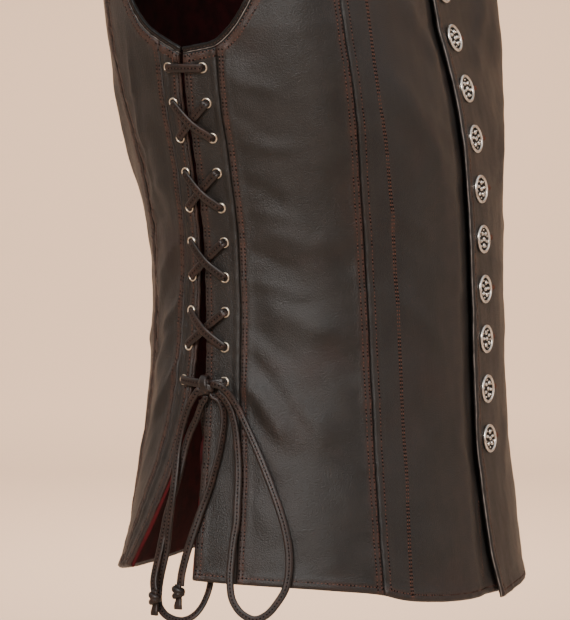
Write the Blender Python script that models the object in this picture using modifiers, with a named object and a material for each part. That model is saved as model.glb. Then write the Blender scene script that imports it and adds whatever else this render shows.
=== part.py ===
"""A medieval leather vest, filled out as if worn, with side lacing and a buttoned front.

Metres, +Z up. The front faces -Y and the wearer's right side faces -X. The origin lies halfway
between the shoulders, where the wearer carries the vest.

Every cloth piece is cut from one body form. A place on that form is an angle, 0 at the centre front,
90 at the wearer's right side, 180 at the centre back and 270 at the wearer's left side, and a level,
which is the height above the hem up to the chest, and above the chest runs on over the shoulder to
the neck.
"""
import math

import bmesh
import bpy
import numpy as np
from mathutils import Matrix, Vector
from mathutils.bvhtree import BVHTree

COLLECTION_NAME = "medieval_leather_vest"

# Driving dimensions
CHEST_LEVEL = 0.384
YOKE_LEVELS = 0.300
NECK_LEVEL = CHEST_LEVEL + YOKE_LEVELS
YOKE_FRONT_POWER = 1.5
YOKE_BACK_POWER = 2.0
YOKE_SIDE_POWER = 3.4
NECK_HALF_WIDTH = 0.072
NECK_HALF_DEPTH = 0.064
NECK_CENTRE_Y = 0.045
NECK_SIDE_HEIGHT = 0.622
NECK_FRONT_DROP = 0.045
NECK_BACK_DROP = 0.012
SHOULDER_REST_HEIGHT = 0.612
LEATHER = 0.002
SEAM_GAP = 0.0003
LINING_OUTSIDE = -0.0046
LINING_INSIDE = -0.0056
MERGE = 0.00001

# The body form, one row for each level
SECTION_COLUMNS = ("level", "half_width", "front_y", "back_y", "widest_y", "front_power", "back_power")
SECTION_ROWS = (
    (-0.030, 0.182, -0.139, 0.133, 0.000, 2.30, 3.0),
    (0.000, 0.178, -0.1345, 0.1265, 0.000, 2.35, 2.9),
    (0.047, 0.170, -0.128, 0.1185, 0.000, 2.45, 2.7),
    (0.095, 0.162, -0.123, 0.1155, 0.000, 2.50, 2.4),
    (0.150, 0.156, -0.121, 0.114, 0.000, 2.50, 2.2),
    (0.200, 0.154, -0.1195, 0.1145, 0.001, 2.55, 2.1),
    (0.240, 0.157, -0.118, 0.1175, 0.003, 2.60, 2.1),
    (0.290, 0.166, -0.1145, 0.127, 0.008, 2.85, 2.1),
    (0.340, 0.177, -0.106, 0.1355, 0.014, 3.30, 2.2),
    (CHEST_LEVEL, 0.184, -0.0935, 0.140, 0.018, 3.70, 2.3),
)

# Seams and edges of the wearer's right side from the hem up, as rows of level and angle
SLIT_FRONT = ((0.008, 100.5), (0.062, 100.9), (0.130, 101.7), (0.190, 102.3), (0.266, 100.4), (0.366, 96.7))
SLIT_BACK = ((0.012, 121.5), (0.045, 115.5), (0.080, 110.5), (0.129, 106.6), (0.190, 104.6), (0.266, 101.5),
             (0.366, 97.4))
FRONT_STRIP_SEAM = ((0.005, 90.0), (0.070, 90.5), (0.130, 91.7), (0.208, 91.6), (0.267, 90.7), (0.3705, 88.6))
BACK_STRIP_SEAM = ((0.009, 127.5), (0.045, 121.5), (0.080, 116.5), (0.135, 112.0), (0.193, 110.4),
                   (0.256, 106.6), (0.3745, 102.4))
FRONT_PRINCESS = ((-0.001, 56.3), (0.084, 57.5), (0.172, 58.6), (0.267, 59.4), (0.340, 59.6), (0.385, 60.8),
                  (0.470, 62.0), (0.530, 67.5), (0.580, 79.0), (0.605, 90.0))
BACK_PRINCESS = ((0.002, 149.0), (0.084, 152.0), (0.172, 156.0), (0.238, 161.0), (0.333, 162.0),
                 (0.400, 158.0), (0.470, 145.0), (0.530, 128.0), (0.580, 108.0), (0.605, 90.0))

# Edges of the armhole and the neck on the wearer's right side, as rows of angle and level
FRONT_ARMHOLE = ((88.6, 0.3705), (86.0, 0.377), (82.5, 0.388), (79.0, 0.402), (75.8, 0.421), (73.6, 0.444),
                 (73.0, 0.468), (74.6, 0.492), (79.5, 0.515), (84.5, 0.527), (90.0, 0.532))
BACK_ARMHOLE = ((102.4, 0.3745), (105.5, 0.381), (109.5, 0.393), (113.0, 0.410), (115.6, 0.431),
                (116.4, 0.453), (115.0, 0.475), (110.5, 0.498), (104.0, 0.516), (97.0, 0.528), (90.0, 0.532))
ARMHOLE_CENTRE = (94.0, 0.450)
NECKLINE = ((-9.0, 0.500), (4.0, 0.521), (14.0, 0.547), (23.0, 0.578), (37.0, 0.615), (60.0, 0.657),
            (90.0, NECK_LEVEL))

# The hem from the centre front to the centre back, as rows of angle and level
HEM_ROWS = ((0.0, -0.0122), (12.5, -0.0112), (26.0, -0.0112), (40.0, -0.0091), (51.0, -0.0051),
            (56.3, -0.001), (69.0, 0.0037), (100.5, 0.008), (121.5, 0.012), (135.0, 0.006), (150.0, 0.001),
            (180.0, -0.002))

# The front closure: the wearer's left front laps over the right one, past the centre by these widths
LAP_EDGE = ((-0.017, 0.0070), (0.010, 0.0155), (0.040, 0.0180), (0.090, 0.0200), (0.500, 0.0205))
UNDERLAP_EDGE = ((-0.017, 0.0180), (0.500, 0.0180))
LAP_DROP = 0.0046
UNDERLAP_DIP = 0.0042
DIP_START = 0.050
DIP_FULL = 0.028

# Creases: rows of angle and level at one end, angle and level at the other, half width and height
FRONT_FOLDS = (
    (43.0, 0.410, 17.0, 0.350, 0.010, 0.0026),
    (54.0, 0.365, 24.0, 0.270, 0.011, 0.0028),
    (87.0, 0.250, 64.0, 0.230, 0.009, 0.0020),
    (88.0, 0.199, 63.0, 0.168, 0.010, 0.0024),
    (90.0, 0.152, 66.0, 0.098, 0.011, 0.0026),
    (84.0, 0.372, 87.0, 0.300, 0.010, 0.0020),
)
BACK_FOLDS = (
    (112.0, 0.244, 128.0, 0.196, 0.009, 0.0022),
    (113.0, 0.200, 126.0, 0.130, 0.009, 0.0024),
    (113.0, 0.162, 126.0, 0.108, 0.009, 0.0022),
    (116.0, 0.330, 111.0, 0.255, 0.010, 0.0022),
    (128.0, 0.360, 146.0, 0.270, 0.012, 0.0024),
)
HIDDEN_BACK_FOLDS = (
    (164.0, 0.215, 186.0, 0.206, 0.010, 0.0020),
    (168.0, 0.180, 196.0, 0.188, 0.010, 0.0018),
)
FOLD_END = 0.30
LEFT_FOLD_SHARE = 0.8

# Eyelets of the side lacing, as rows of level and angle
EYELET_COUNT = 10
EYELET_TOP = 0.3565
EYELET_PITCH = 0.0238
FRONT_EYELETS = ((0.142, 96.1), (0.166, 96.3), (0.214, 95.7), (0.261, 94.5), (0.308, 93.2), (0.3565, 92.4))
BACK_EYELETS = ((0.142, 109.2), (0.166, 108.0), (0.214, 106.2), (0.261, 103.9), (0.308, 101.9),
                (0.3575, 101.0))
EYELET_RADIUS = 0.0037
EYELET_HOLE_RADIUS = 0.0024
EYELET_RISE = 0.0009
EYELET_ROOT = -0.0010
EYELET_HOLE_REACH = (-0.006, 0.005)
EYELET_SIDES = 8

# The lace through the eyelets, then its free loops and ends as rows of angle, level and distance above
LACE_RADIUS = 0.0018
LACE_SIDE_STEP = 0.0024
LACE_ABOVE = 0.0036
LACE_BELOW = -0.0050
LACE_ENTERS = 0.0018
LACE_LEAVES = -0.0034
LACE_CROSSING = 0.0070
FREE_LACE_RADIUS = 0.0019
BOW_KNOT = (99.6, 0.1400, 0.0068)
BOW_KNOT_RADII = (0.0046, 0.0046, 0.0066)
BOW_KNOT_GAP = 0.0007
FRONT_LOOP = (
    (96.6, 0.1406, 0.0108), (95.3, 0.1395, 0.0104), (94.2, 0.1366, 0.0088), (93.0, 0.1321, 0.0064),
    (91.3, 0.1238, 0.0042), (89.5, 0.1142, 0.0036), (86.3, 0.0972, 0.0036), (82.9, 0.0759, 0.0036),
    (80.4, 0.0574, 0.0036), (78.9, 0.0429, 0.0036), (78.1, 0.0296, 0.0036), (78.0, 0.0163, 0.0038),
    (78.6, 0.0053, 0.0040), (80.3, -0.0044, 0.0040), (82.4, -0.0122, 0.0040), (85.0, -0.0160, 0.0040),
    (87.6, -0.0132, 0.0040), (89.4, -0.0078, 0.0040), (90.6, -0.0003, 0.0040), (91.1, 0.0116, 0.0038),
    (91.1, 0.0229, 0.0036), (90.9, 0.0350, 0.0036), (90.4, 0.0484, 0.0036), (90.5, 0.0631, 0.0036),
    (90.6, 0.0799, 0.0036), (91.2, 0.0967, 0.0036), (92.1, 0.1122, 0.0038), (93.5, 0.1243, 0.0046),
    (95.0, 0.1315, 0.0062), (96.5, 0.1357, 0.0080),
)
FRONT_END = (
    (97.8, 0.1322, 0.0062), (96.5, 0.1304, 0.0054), (95.5, 0.1247, 0.0042), (95.1, 0.1160, 0.0036),
    (95.3, 0.1058, 0.0036), (95.8, 0.0945, 0.0036), (96.6, 0.0839, 0.0036), (97.6, 0.0709, 0.0036),
    (99.0, 0.0577, 0.0036), (100.1, 0.0466, 0.0036), (101.1, 0.0358, 0.0036), (102.0, 0.0239, 0.0036),
    (102.6, 0.0126, 0.0036), (102.7, 0.0036, 0.0036),
)
BACK_LOOP = (
    (102.0, 0.1348, 0.0080), (102.9, 0.1312, 0.0078), (104.5, 0.1248, 0.0068), (105.8, 0.1155, 0.0060),
    (106.7, 0.1065, 0.0056), (107.1, 0.0941, 0.0056), (106.9, 0.0804, 0.0060), (106.8, 0.0635, 0.0060),
    (107.4, 0.0468, 0.0040), (108.1, 0.0255, 0.0008), (108.8, 0.0118, 0.0000), (109.7, 0.0010, -0.0026),
    (109.1, -0.0090, -0.0020), (107.2, -0.0150, -0.0005), (104.9, -0.0184, 0.0000), (102.2, -0.0193, 0.0000),
    (100.0, -0.0163, -0.0010), (98.5, -0.0098, -0.0040), (97.9, -0.0004, -0.0090), (97.6, 0.0093, -0.0105),
    (97.5, 0.0263, -0.0105), (97.9, 0.0464, -0.0105), (99.2, 0.0666, -0.0105), (101.6, 0.0898, -0.0105),
    (103.6, 0.1097, -0.0090), (103.4, 0.1215, -0.0045), (102.7, 0.1290, 0.0000),
)
BACK_END = (
    (100.1, 0.1303, 0.0056), (101.4, 0.1256, 0.0045), (103.0, 0.1166, 0.0028), (104.8, 0.1076, 0.0018),
    (106.1, 0.0968, 0.0014), (106.8, 0.0837, 0.0014), (107.5, 0.0721, 0.0014), (108.2, 0.0610, 0.0020),
    (108.8, 0.0497, 0.0026), (109.0, 0.0374, 0.0030), (109.2, 0.0249, 0.0036), (109.5, 0.0127, 0.0042),
    (109.4, 0.0045, 0.0048), (108.7, -0.0020, 0.0052),
)
FRONT_END_KNOT = (103.0, -0.0010, 0.0036)
BACK_END_KNOT = (108.4, -0.0065, 0.0052)
END_KNOT_RADIUS = 0.0049
END_KNOT_HALF_HEIGHT = 0.0040
KNOT_TAIL = 0.0105
KNOT_TAIL_RADIUS = 0.0026
CORD_POINT_STEP = 0.0105

# Buttons down the centre front
BUTTON_COUNT = 12
BUTTON_LOW_LEVEL = 0.0945
BUTTON_PITCH = 0.0352
BUTTON_FEEL = 0.010
BUTTON_STEPS = 10
BUTTON_PROFILE = ((0.0, 0.0044), (0.0078, 0.0036), (0.0100, 0.0026), (0.0090, 0.0012), (0.0036, 0.0009),
                  (0.0032, 0.0), (0.0, 0.0))
BUTTON_RIM_ROW = 2

# Bound edges
BINDING_RADIUS = 0.0019
BINDING_SINK = -0.0010
NECK_BINDING_START = 12.0

# Edges of the lining, clear of the lacing above and close to the slit below
LINING_FRONT_EDGE = ((0.014, 99.2), (0.062, 99.5), (0.095, 99.2), (0.130, 91.5), (0.170, 90.4), (0.267, 89.4),
                     (0.3655, 87.4))
LINING_BACK_EDGE = ((0.018, 123.2), (0.045, 117.5), (0.080, 112.2), (0.105, 110.5), (0.135, 113.2),
                    (0.193, 111.6), (0.256, 108.0), (0.3680, 104.2))
LINING_FRONT_X = -0.056
LINING_FRONT_FOOT = 0.002
LINING_NECK = ((35.0, 0.609), (60.0, 0.657), (90.0, NECK_LEVEL))
LINING_NECK_ROWS = 4
LINING_ARMHOLE_GROWTH = 1.05
LINING_INSET = 0.006
LINING_SHOULDER_GAP = 0.5
LINING_HEM = (0.010, 0.030)
LINING_SLIT = (16.0, 26.0)
LINING_SLIT_FROM_BACK = 70.0
LINING_HEM_RISE = 0.0018
LINING_YOKE = (0.430, 0.530)
LINING_YOKE_DROP = 0.0026

# Grid of the cloth pieces: rows up each seam and columns across each panel
ROWS_LOW = 14
ROWS_ARM = 9
ROWS_LAP = 16
PRINCESS_SPLIT_LEVEL = 0.378
PRINCESS_SPLIT_CLEAR = 0.020
STRIP_COLUMNS = 1
SIDE_COLUMNS = 5
FRONT_COLUMNS = 7
BACK_COLUMNS = 8
SHOULDER_ROWS = 4
LINING_ROWS_LOW = 9
LINING_ROWS_ARM = 7
LINING_FRONT_COLUMNS = 4
LINING_RING_COLUMNS = 10
DEGREE_ARC = math.radians(1) * 0.155
SHOULDER_HALF_GAP = 0.14

LEATHER_COLOUR = (0.030, 0.024, 0.021)
EDGE_COLOUR = (0.016, 0.012, 0.011)
LINING_COLOUR = (0.150, 0.012, 0.016)
LACE_COLOUR = (0.035, 0.020, 0.014)
SILVER_COLOUR = (0.420, 0.360, 0.290)


def smooth(x, rows, column=1):
    """A smooth curve through the rows' values in one column, read at x in their first column."""
    xs = np.array([row[0] for row in rows])
    ys = np.array([row[column] for row in rows])
    x = np.clip(np.asarray(x, float), xs[0], xs[-1])
    span = np.diff(xs)
    slope = np.diff(ys) / span
    tangent = np.empty(len(xs))
    tangent[0], tangent[-1] = slope[0], slope[-1]
    tangent[1:-1] = (slope[:-1] * span[1:] + slope[1:] * span[:-1]) / (xs[2:] - xs[:-2])
    i = np.clip(np.searchsorted(xs, x, side="right") - 1, 0, len(xs) - 2)
    t = (x - xs[i]) / span[i]
    rise = ys[i] * (2 * t**3 - 3 * t**2 + 1) + ys[i + 1] * (3 * t**2 - 2 * t**3)
    lean = tangent[i] * (t**3 - 2 * t**2 + t) + tangent[i + 1] * (t**3 - t**2)
    return rise + lean * span[i]


def ramp(x, start, end):
    """A soft step from 0 at start to 1 at end."""
    t = np.clip((np.asarray(x, float) - start) / (end - start), 0.0, 1.0)
    return t * t * (3 - 2 * t)


def body(angle, level):
    """The plain body form, as points about the torso's axis with heights above the hem."""
    turn = np.radians(angle)
    torso_level = np.minimum(level, CHEST_LEVEL)
    section = {name: smooth(torso_level, SECTION_ROWS, k) for k, name in enumerate(SECTION_COLUMNS) if k}
    across, along = np.abs(np.sin(turn)), np.cos(turn)
    front = along > 0
    depth = np.where(front, section["widest_y"] - section["front_y"], section["back_y"] - section["widest_y"])
    power = np.where(front, section["front_power"], section["back_power"])
    torso = ((across / section["half_width"]) ** power + (np.abs(along) / depth) ** power) ** (-1 / power)
    rise = np.clip((np.asarray(level) - CHEST_LEVEL) / YOKE_LEVELS, 0, 1) * math.pi / 2
    yoke_power = np.where(front, YOKE_FRONT_POWER, YOKE_BACK_POWER)
    yoke_power = yoke_power + (YOKE_SIDE_POWER - yoke_power) * across**2
    yoke = (np.cos(rise) ** yoke_power + np.sin(rise) ** yoke_power) ** (-1 / yoke_power)
    inward, upward = yoke * np.cos(rise), yoke * np.sin(rise)
    neck = 1 / np.sqrt((across / NECK_HALF_WIDTH) ** 2 + (along / NECK_HALF_DEPTH) ** 2)
    neck_height = NECK_SIDE_HEIGHT - np.where(front, NECK_FRONT_DROP, NECK_BACK_DROP) * along**2
    radius = neck + (torso - neck) * inward
    height = torso_level + (neck_height - CHEST_LEVEL) * upward
    centre_y = section["widest_y"] + (NECK_CENTRE_Y - section["widest_y"]) * upward
    return np.stack([-radius * np.sin(turn), centre_y - radius * along, height], -1)


def outward(angle, level):
    """The body form's unit normals."""
    d_angle, d_level = 0.05, 0.0004
    level = np.minimum(level, NECK_LEVEL - d_level)
    along = body(angle + d_angle, level) - body(angle - d_angle, level)
    up = body(angle, level + d_level) - body(angle, level - d_level)
    normal = np.cross(up, along)
    return normal / np.linalg.norm(normal, axis=-1, keepdims=True)


def crease_height(angle, level):
    """How far the creases lift the leather off the body form."""
    lift = np.zeros(np.broadcast(angle, level).shape)
    right_folds = FRONT_FOLDS + BACK_FOLDS
    left_folds = tuple((360 - a, s, 360 - b, t, w, LEFT_FOLD_SHARE * h) for a, s, b, t, w, h in right_folds)
    folds = right_folds + left_folds + HIDDEN_BACK_FOLDS
    for angle_1, level_1, angle_2, level_2, half_width, height in folds:
        run = np.array([(angle_2 - angle_1) * DEGREE_ARC, level_2 - level_1])
        length = np.linalg.norm(run)
        x = (np.mod(angle, 360) - angle_1) * DEGREE_ARC
        y = level - level_1
        along = (x * run[0] + y * run[1]) / length
        aside = (x * run[1] - y * run[0]) / length
        ends = ramp(along, 0, FOLD_END * length) * (1 - ramp(along, (1 - FOLD_END) * length, length))
        lift = lift + height * ends * np.exp(-((aside / half_width) ** 2))
    return lift


def underlap_dip(angle, level):
    """How far the wearer's right front drops to pass under the lap."""
    return -UNDERLAP_DIP * ramp(-body(angle, level)[..., 0], DIP_START, DIP_FULL)


def place(angle, level, above=0.0):
    """Points of the vest at a distance above the leather's outer face, in the vest's own frame."""
    angle, level, above = np.broadcast_arrays(*(np.asarray(v, float) for v in (angle, level, above)))
    lift = above + crease_height(angle, level)
    points = body(angle, level) + outward(angle, level) * lift[..., None]
    return points - np.array([0.0, NECK_CENTRE_Y, SHOULDER_REST_HEIGHT])


def angle_at_x(x, level):
    """The angle at the front where the body form has that x."""
    angle = 0.0
    for _ in range(6):
        slope = (body(angle + 0.5, level)[..., 0] - body(angle - 0.5, level)[..., 0])
        angle = angle - (body(angle, level)[..., 0] - x) / slope
    return angle


def hem(angle):
    """The hem's level at an angle."""
    turned = np.mod(angle, 360)
    return smooth(np.where(turned > 180, 360 - turned, turned), HEM_ROWS)


def steps(start, end, count):
    return np.linspace(start, end, count + 1)


def spaced(rows, count):
    """Count + 1 rows at even distances along a smooth line through the given rows."""
    rows = np.array(rows, float)
    knots = np.arange(len(rows))
    fine = np.linspace(0, len(rows) - 1, 40 * len(rows))
    columns = range(rows.shape[1])
    line = np.stack([smooth(fine, list(zip(knots, rows[:, k]))) for k in columns], -1)
    steps_along = np.diff(line, axis=0) * np.array([DEGREE_ARC, 1.0])
    run = np.concatenate([[0], np.cumsum(np.linalg.norm(steps_along, axis=1))])
    wanted = np.linspace(0, run[-1], count + 1)
    return np.stack([np.interp(wanted, run, line[:, k]) for k in columns], -1)


def seam(rows, count, top=None):
    """Places (angle, level) up a seam given as (level, angle) rows, from the hem to its top."""
    low = rows[0][0]
    for _ in range(3):
        low = float(hem(smooth(low, rows)))
    levels = steps(low, rows[-1][0] if top is None else top, count)
    return np.stack([smooth(levels, rows), levels], -1)


def full_seam(rows):
    """Places up a princess seam, level with the strip seams below and spread to the shoulder above."""
    below = seam(rows, ROWS_LOW, top=PRINCESS_SPLIT_LEVEL)
    from_split = PRINCESS_SPLIT_LEVEL + PRINCESS_SPLIT_CLEAR
    above = [tuple(below[-1])] + [(angle, level) for level, angle in rows if level > from_split]
    return np.concatenate([below, spaced(above, ROWS_ARM)[1:]])


def mirrored(places):
    """The same places on the wearer's left side."""
    return np.stack([360.0 - places[..., 0], places[..., 1]], -1)


def shifted(places, distance):
    """Places moved round the body by a distance."""
    radius = np.linalg.norm(place(places[:, 0], places[:, 1])[:, :2], axis=1)
    moved = places.copy()
    moved[:, 0] += np.degrees(distance / np.maximum(radius, NECK_HALF_WIDTH))
    return moved


def coons(left, right, bottom, top):
    """Places over a four-sided patch: left and right run upwards, bottom and top run from left to right."""
    v = np.linspace(0, 1, len(left))[:, None, None]
    u = np.linspace(0, 1, len(bottom))[None, :, None]
    sides = (1 - u) * left[:, None] + u * right[:, None]
    ends = (1 - v) * bottom[None] + v * top[None]
    corners = (1 - v) * ((1 - u) * left[0] + u * right[0]) + v * ((1 - u) * left[-1] + u * right[-1])
    return sides + ends - corners


def line_between(start, end, count):
    t = np.linspace(0, 1, count + 1)[:, None]
    return (1 - t) * np.array(start) + t * np.array(end)


def hem_between(start, end, count):
    """Places along the hem between two places on it, keeping those two as they are."""
    line = line_between(start, end, count)
    t = np.linspace(0, 1, count + 1)
    miss = (1 - t) * (start[1] - hem(start[0])) + t * (end[1] - hem(end[0]))
    line[:, 1] = hem(line[:, 0]) + miss
    return line


def material(name, colour, roughness, metallic=0.0):
    made = bpy.data.materials.new(name)
    made.use_nodes = True
    shader = made.node_tree.nodes["Principled BSDF"]
    shader.inputs["Base Color"].default_value = (*colour, 1.0)
    shader.inputs["Roughness"].default_value = roughness
    shader.inputs["Metallic"].default_value = metallic
    made.diffuse_color = (*colour, 1.0)
    return made


def add(name, mesh, colour, roughness, metallic=0.0):
    """A named object of the vest with its own material."""
    made = bpy.data.objects.new(name, mesh)
    mesh.materials.clear()
    mesh.materials.append(material(name, colour, roughness, metallic))
    parts.objects.link(made)
    return made


def shell(name, places, outside, inside, colour, roughness, lift=0.0):
    """A cloth wall over a grid of places, between two distances from the leather's outer face."""
    rows, columns = places.shape[:2]
    outer = place(places[..., 0], places[..., 1], outside + lift).reshape(-1, 3)
    inner = place(places[..., 0], places[..., 1], inside + lift).reshape(-1, 3)
    work = bmesh.new()
    bmesh.ops.create_grid(work, x_segments=columns - 1, y_segments=rows - 1, size=0.5)
    grid_layer = work.verts.layers.int.new("grid")
    for vert in work.verts:
        column = round((vert.co.x + 0.5) * (columns - 1))
        row = round((vert.co.y + 0.5) * (rows - 1))
        vert[grid_layer] = row * columns + column
        vert.co = outer[vert[grid_layer]]
    wall = bmesh.ops.extrude_face_region(work, geom=work.faces[:])
    for vert in (v for v in wall["geom"] if isinstance(v, bmesh.types.BMVert)):
        vert.co = inner[vert[grid_layer]]
    bmesh.ops.triangulate(work, faces=work.faces[:], quad_method="SHORT_EDGE")
    bmesh.ops.recalc_face_normals(work, faces=work.faces[:])
    mesh = bpy.data.meshes.new(name)
    work.to_mesh(mesh)
    work.free()
    made = add(name, mesh, colour, roughness)
    mesh.shade_smooth()
    mesh.set_sharp_from_angle(angle=math.radians(50))
    return made


def tube(name, points, radius, colour, resolution=2):
    """A round cord along a line of points, with filled ends."""
    curve = bpy.data.curves.new(name, "CURVE")
    curve.dimensions = "3D"
    spline = curve.splines.new("POLY")
    spline.points.add(len(points) - 1)
    for point, co in zip(spline.points, points):
        point.co = (*co, 1.0)
    curve.bevel_depth = radius
    curve.bevel_resolution = resolution
    curve.use_fill_caps = True
    made = bpy.data.objects.new(name, curve)
    curve.materials.append(material(name, colour, 0.6))
    parts.objects.link(made)
    return made


def as_mesh(made):
    """The same tube as a mesh object with welded caps, for a Boolean."""
    graph = bpy.context.evaluated_depsgraph_get()
    mesh = bpy.data.meshes.new_from_object(made.evaluated_get(graph))
    work = bmesh.new()
    work.from_mesh(mesh)
    bmesh.ops.remove_doubles(work, verts=work.verts[:], dist=MERGE)
    work.to_mesh(mesh)
    work.free()
    name, matrix, old = made.name, made.matrix_world.copy(), made.data
    bpy.data.objects.remove(made)
    bpy.data.curves.remove(old)
    solid = bpy.data.objects.new(name, mesh)
    solid.matrix_world = matrix
    parts.objects.link(solid)
    return solid


def cutter(name, mesh):
    made = bpy.data.objects.new(name, mesh)
    made.hide_render = True
    made.display_type = "WIRE"
    cutters.objects.link(made)
    return made


def combine(target, other, operation):
    step = target.modifiers.new(f"{operation.lower()}_{other.name}", "BOOLEAN")
    step.object = other
    step.operation = operation
    step.solver = "EXACT"


def facing(point, normal, up=Vector((0, 0, 1))):
    """A matrix that puts +Z along a surface normal at a point, with +Y as near to up as it can be."""
    z = Vector(normal).normalized()
    x = up.cross(z).normalized()
    y = z.cross(x)
    turn = Matrix((x, y, z)).transposed().to_4x4()
    return Matrix.Translation(Vector(point)) @ turn


def pegs(name, places, radius, low, high, sides):
    """One mesh of short round pegs through the strip, one at each place."""
    work = bmesh.new()
    for angle, level in places:
        centre = place(angle, level, (low + high) / 2)
        bmesh.ops.create_cone(
            work, cap_ends=True, segments=sides, radius1=radius, radius2=radius, depth=high - low,
            matrix=facing(centre, outward(angle, level)),
        )
    mesh = bpy.data.meshes.new(name)
    work.to_mesh(mesh)
    work.free()
    return cutter(name, mesh)


def eyelet_places(rows):
    levels = EYELET_TOP - EYELET_PITCH * np.arange(EYELET_COUNT)
    return np.stack([smooth(levels, rows), levels], -1)


def from_knot(centre, point):
    """Where a cord that heads for a point leaves the bow knot."""
    way = (point - centre) / np.linalg.norm(point - centre)
    return centre + way * (1 / np.linalg.norm(way / np.array(BOW_KNOT_RADII)) + BOW_KNOT_GAP)


def routed(rows, centre):
    """Points along a smooth line from the bow knot through hand-placed rows (angle, level, above)."""
    rows = np.array(rows)
    points = place(rows[:, 0], rows[:, 1], rows[:, 2])
    points = np.concatenate([[from_knot(centre, points[0])], points])
    knots = np.arange(len(points))
    fine = np.linspace(0, len(points) - 1, 30 * len(points))
    line = np.stack([smooth(fine, list(zip(knots, points[:, k]))) for k in range(3)], -1)
    run = np.concatenate([[0], np.cumsum(np.linalg.norm(np.diff(line, axis=0), axis=1))])
    count = max(4, round(run[-1] / CORD_POINT_STEP))
    wanted = np.linspace(0, run[-1], count + 1)
    return np.stack([np.interp(wanted, run, line[:, k]) for k in range(3)], -1)


def lacing_rows(front, back, bow):
    """The lace's whole way through both columns of eyelets, as rows of angle, level and distance above.

    It starts at the lowest front eyelet, climbs with a crossing outside between every second pair of rows
    and a straight run inside between the others, passes over the slit in a bar at the top, and comes
    down to the lowest back eyelet.
    """
    columns = {"front": front, "back": back}
    way = []
    side = "front"
    for row in range(EYELET_COUNT - 1, 0, -1):
        way.append((side, row))
        if row % 2 == 0:
            side = "back" if side == "front" else "front"
    way.append((side, 0))
    other = "back" if side == "front" else "front"
    side = other
    way.append((side, 0))
    for row in range(1, EYELET_COUNT):
        way.append((side, row))
        if row % 2 == 1 and row < EYELET_COUNT - 1:
            side = "back" if side == "front" else "front"
    rows = []
    for step, (column, row) in enumerate(way):
        here = columns[column][row]
        before = columns[way[step - 1][0]][way[step - 1][1]] if step else bow
        after = columns[way[step + 1][0]][way[step + 1][1]] if step + 1 < len(way) else bow
        comes_from_outside = step % 2 == 0
        outside = before if comes_from_outside else after
        inside = after if comes_from_outside else before
        passage = [toward(here, outside, LACE_ABOVE), (*here, LACE_ENTERS), (*here, LACE_LEAVES),
                   toward(here, inside, LACE_BELOW)]
        rows += passage if comes_from_outside else passage[::-1]
        if not comes_from_outside and 0 < row < EYELET_COUNT - 1:
            over = (column == "back") == (way[step + 1][1] > row)
            middle = (here + after) / 2
            rows.append((*middle, LACE_CROSSING if over else LACE_ABOVE))
    return rows


def toward(here, there, above):
    """A point beside an eyelet, a short step on the way to another place."""
    scale = np.array([DEGREE_ARC, 1.0])
    way = (there - here) * scale
    step = LACE_SIDE_STEP * way / np.linalg.norm(way) / scale
    return (*(here + step), above)


def knot(name, centre, radii):
    """A pulled-tight knot."""
    work = bmesh.new()
    bmesh.ops.create_uvsphere(work, u_segments=8, v_segments=6, radius=1.0)
    bmesh.ops.scale(work, vec=radii, verts=work.verts[:])
    mesh = bpy.data.meshes.new(name)
    work.to_mesh(mesh)
    work.free()
    mesh.shade_smooth()
    made = add(name, mesh, LACE_COLOUR, 0.6)
    made.location = centre
    return made


def end_knot(name, centre):
    """The knot on a free end, with the lace's short cut end below it."""
    made = knot(name, centre, (END_KNOT_RADIUS, END_KNOT_RADIUS, END_KNOT_HALF_HEIGHT))
    work = bmesh.new()
    bmesh.ops.create_cone(
        work, cap_ends=True, segments=8, radius1=KNOT_TAIL_RADIUS, radius2=FREE_LACE_RADIUS, depth=KNOT_TAIL,
        matrix=Matrix.Translation((0, 0, -KNOT_TAIL / 2)),
    )
    mesh = bpy.data.meshes.new(f"{name}_tail")
    work.to_mesh(mesh)
    work.free()
    tail = cutter(f"{name}_tail", mesh)
    tail.location = centre
    combine(made, tail, "UNION")


def side_rows(rows, side):
    """Hand-placed rows of angle, level and distance above, as they are or on the wearer's left side."""
    return [(360.0 - a if side == "left" else a, level, above) for a, level, above in rows]


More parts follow.
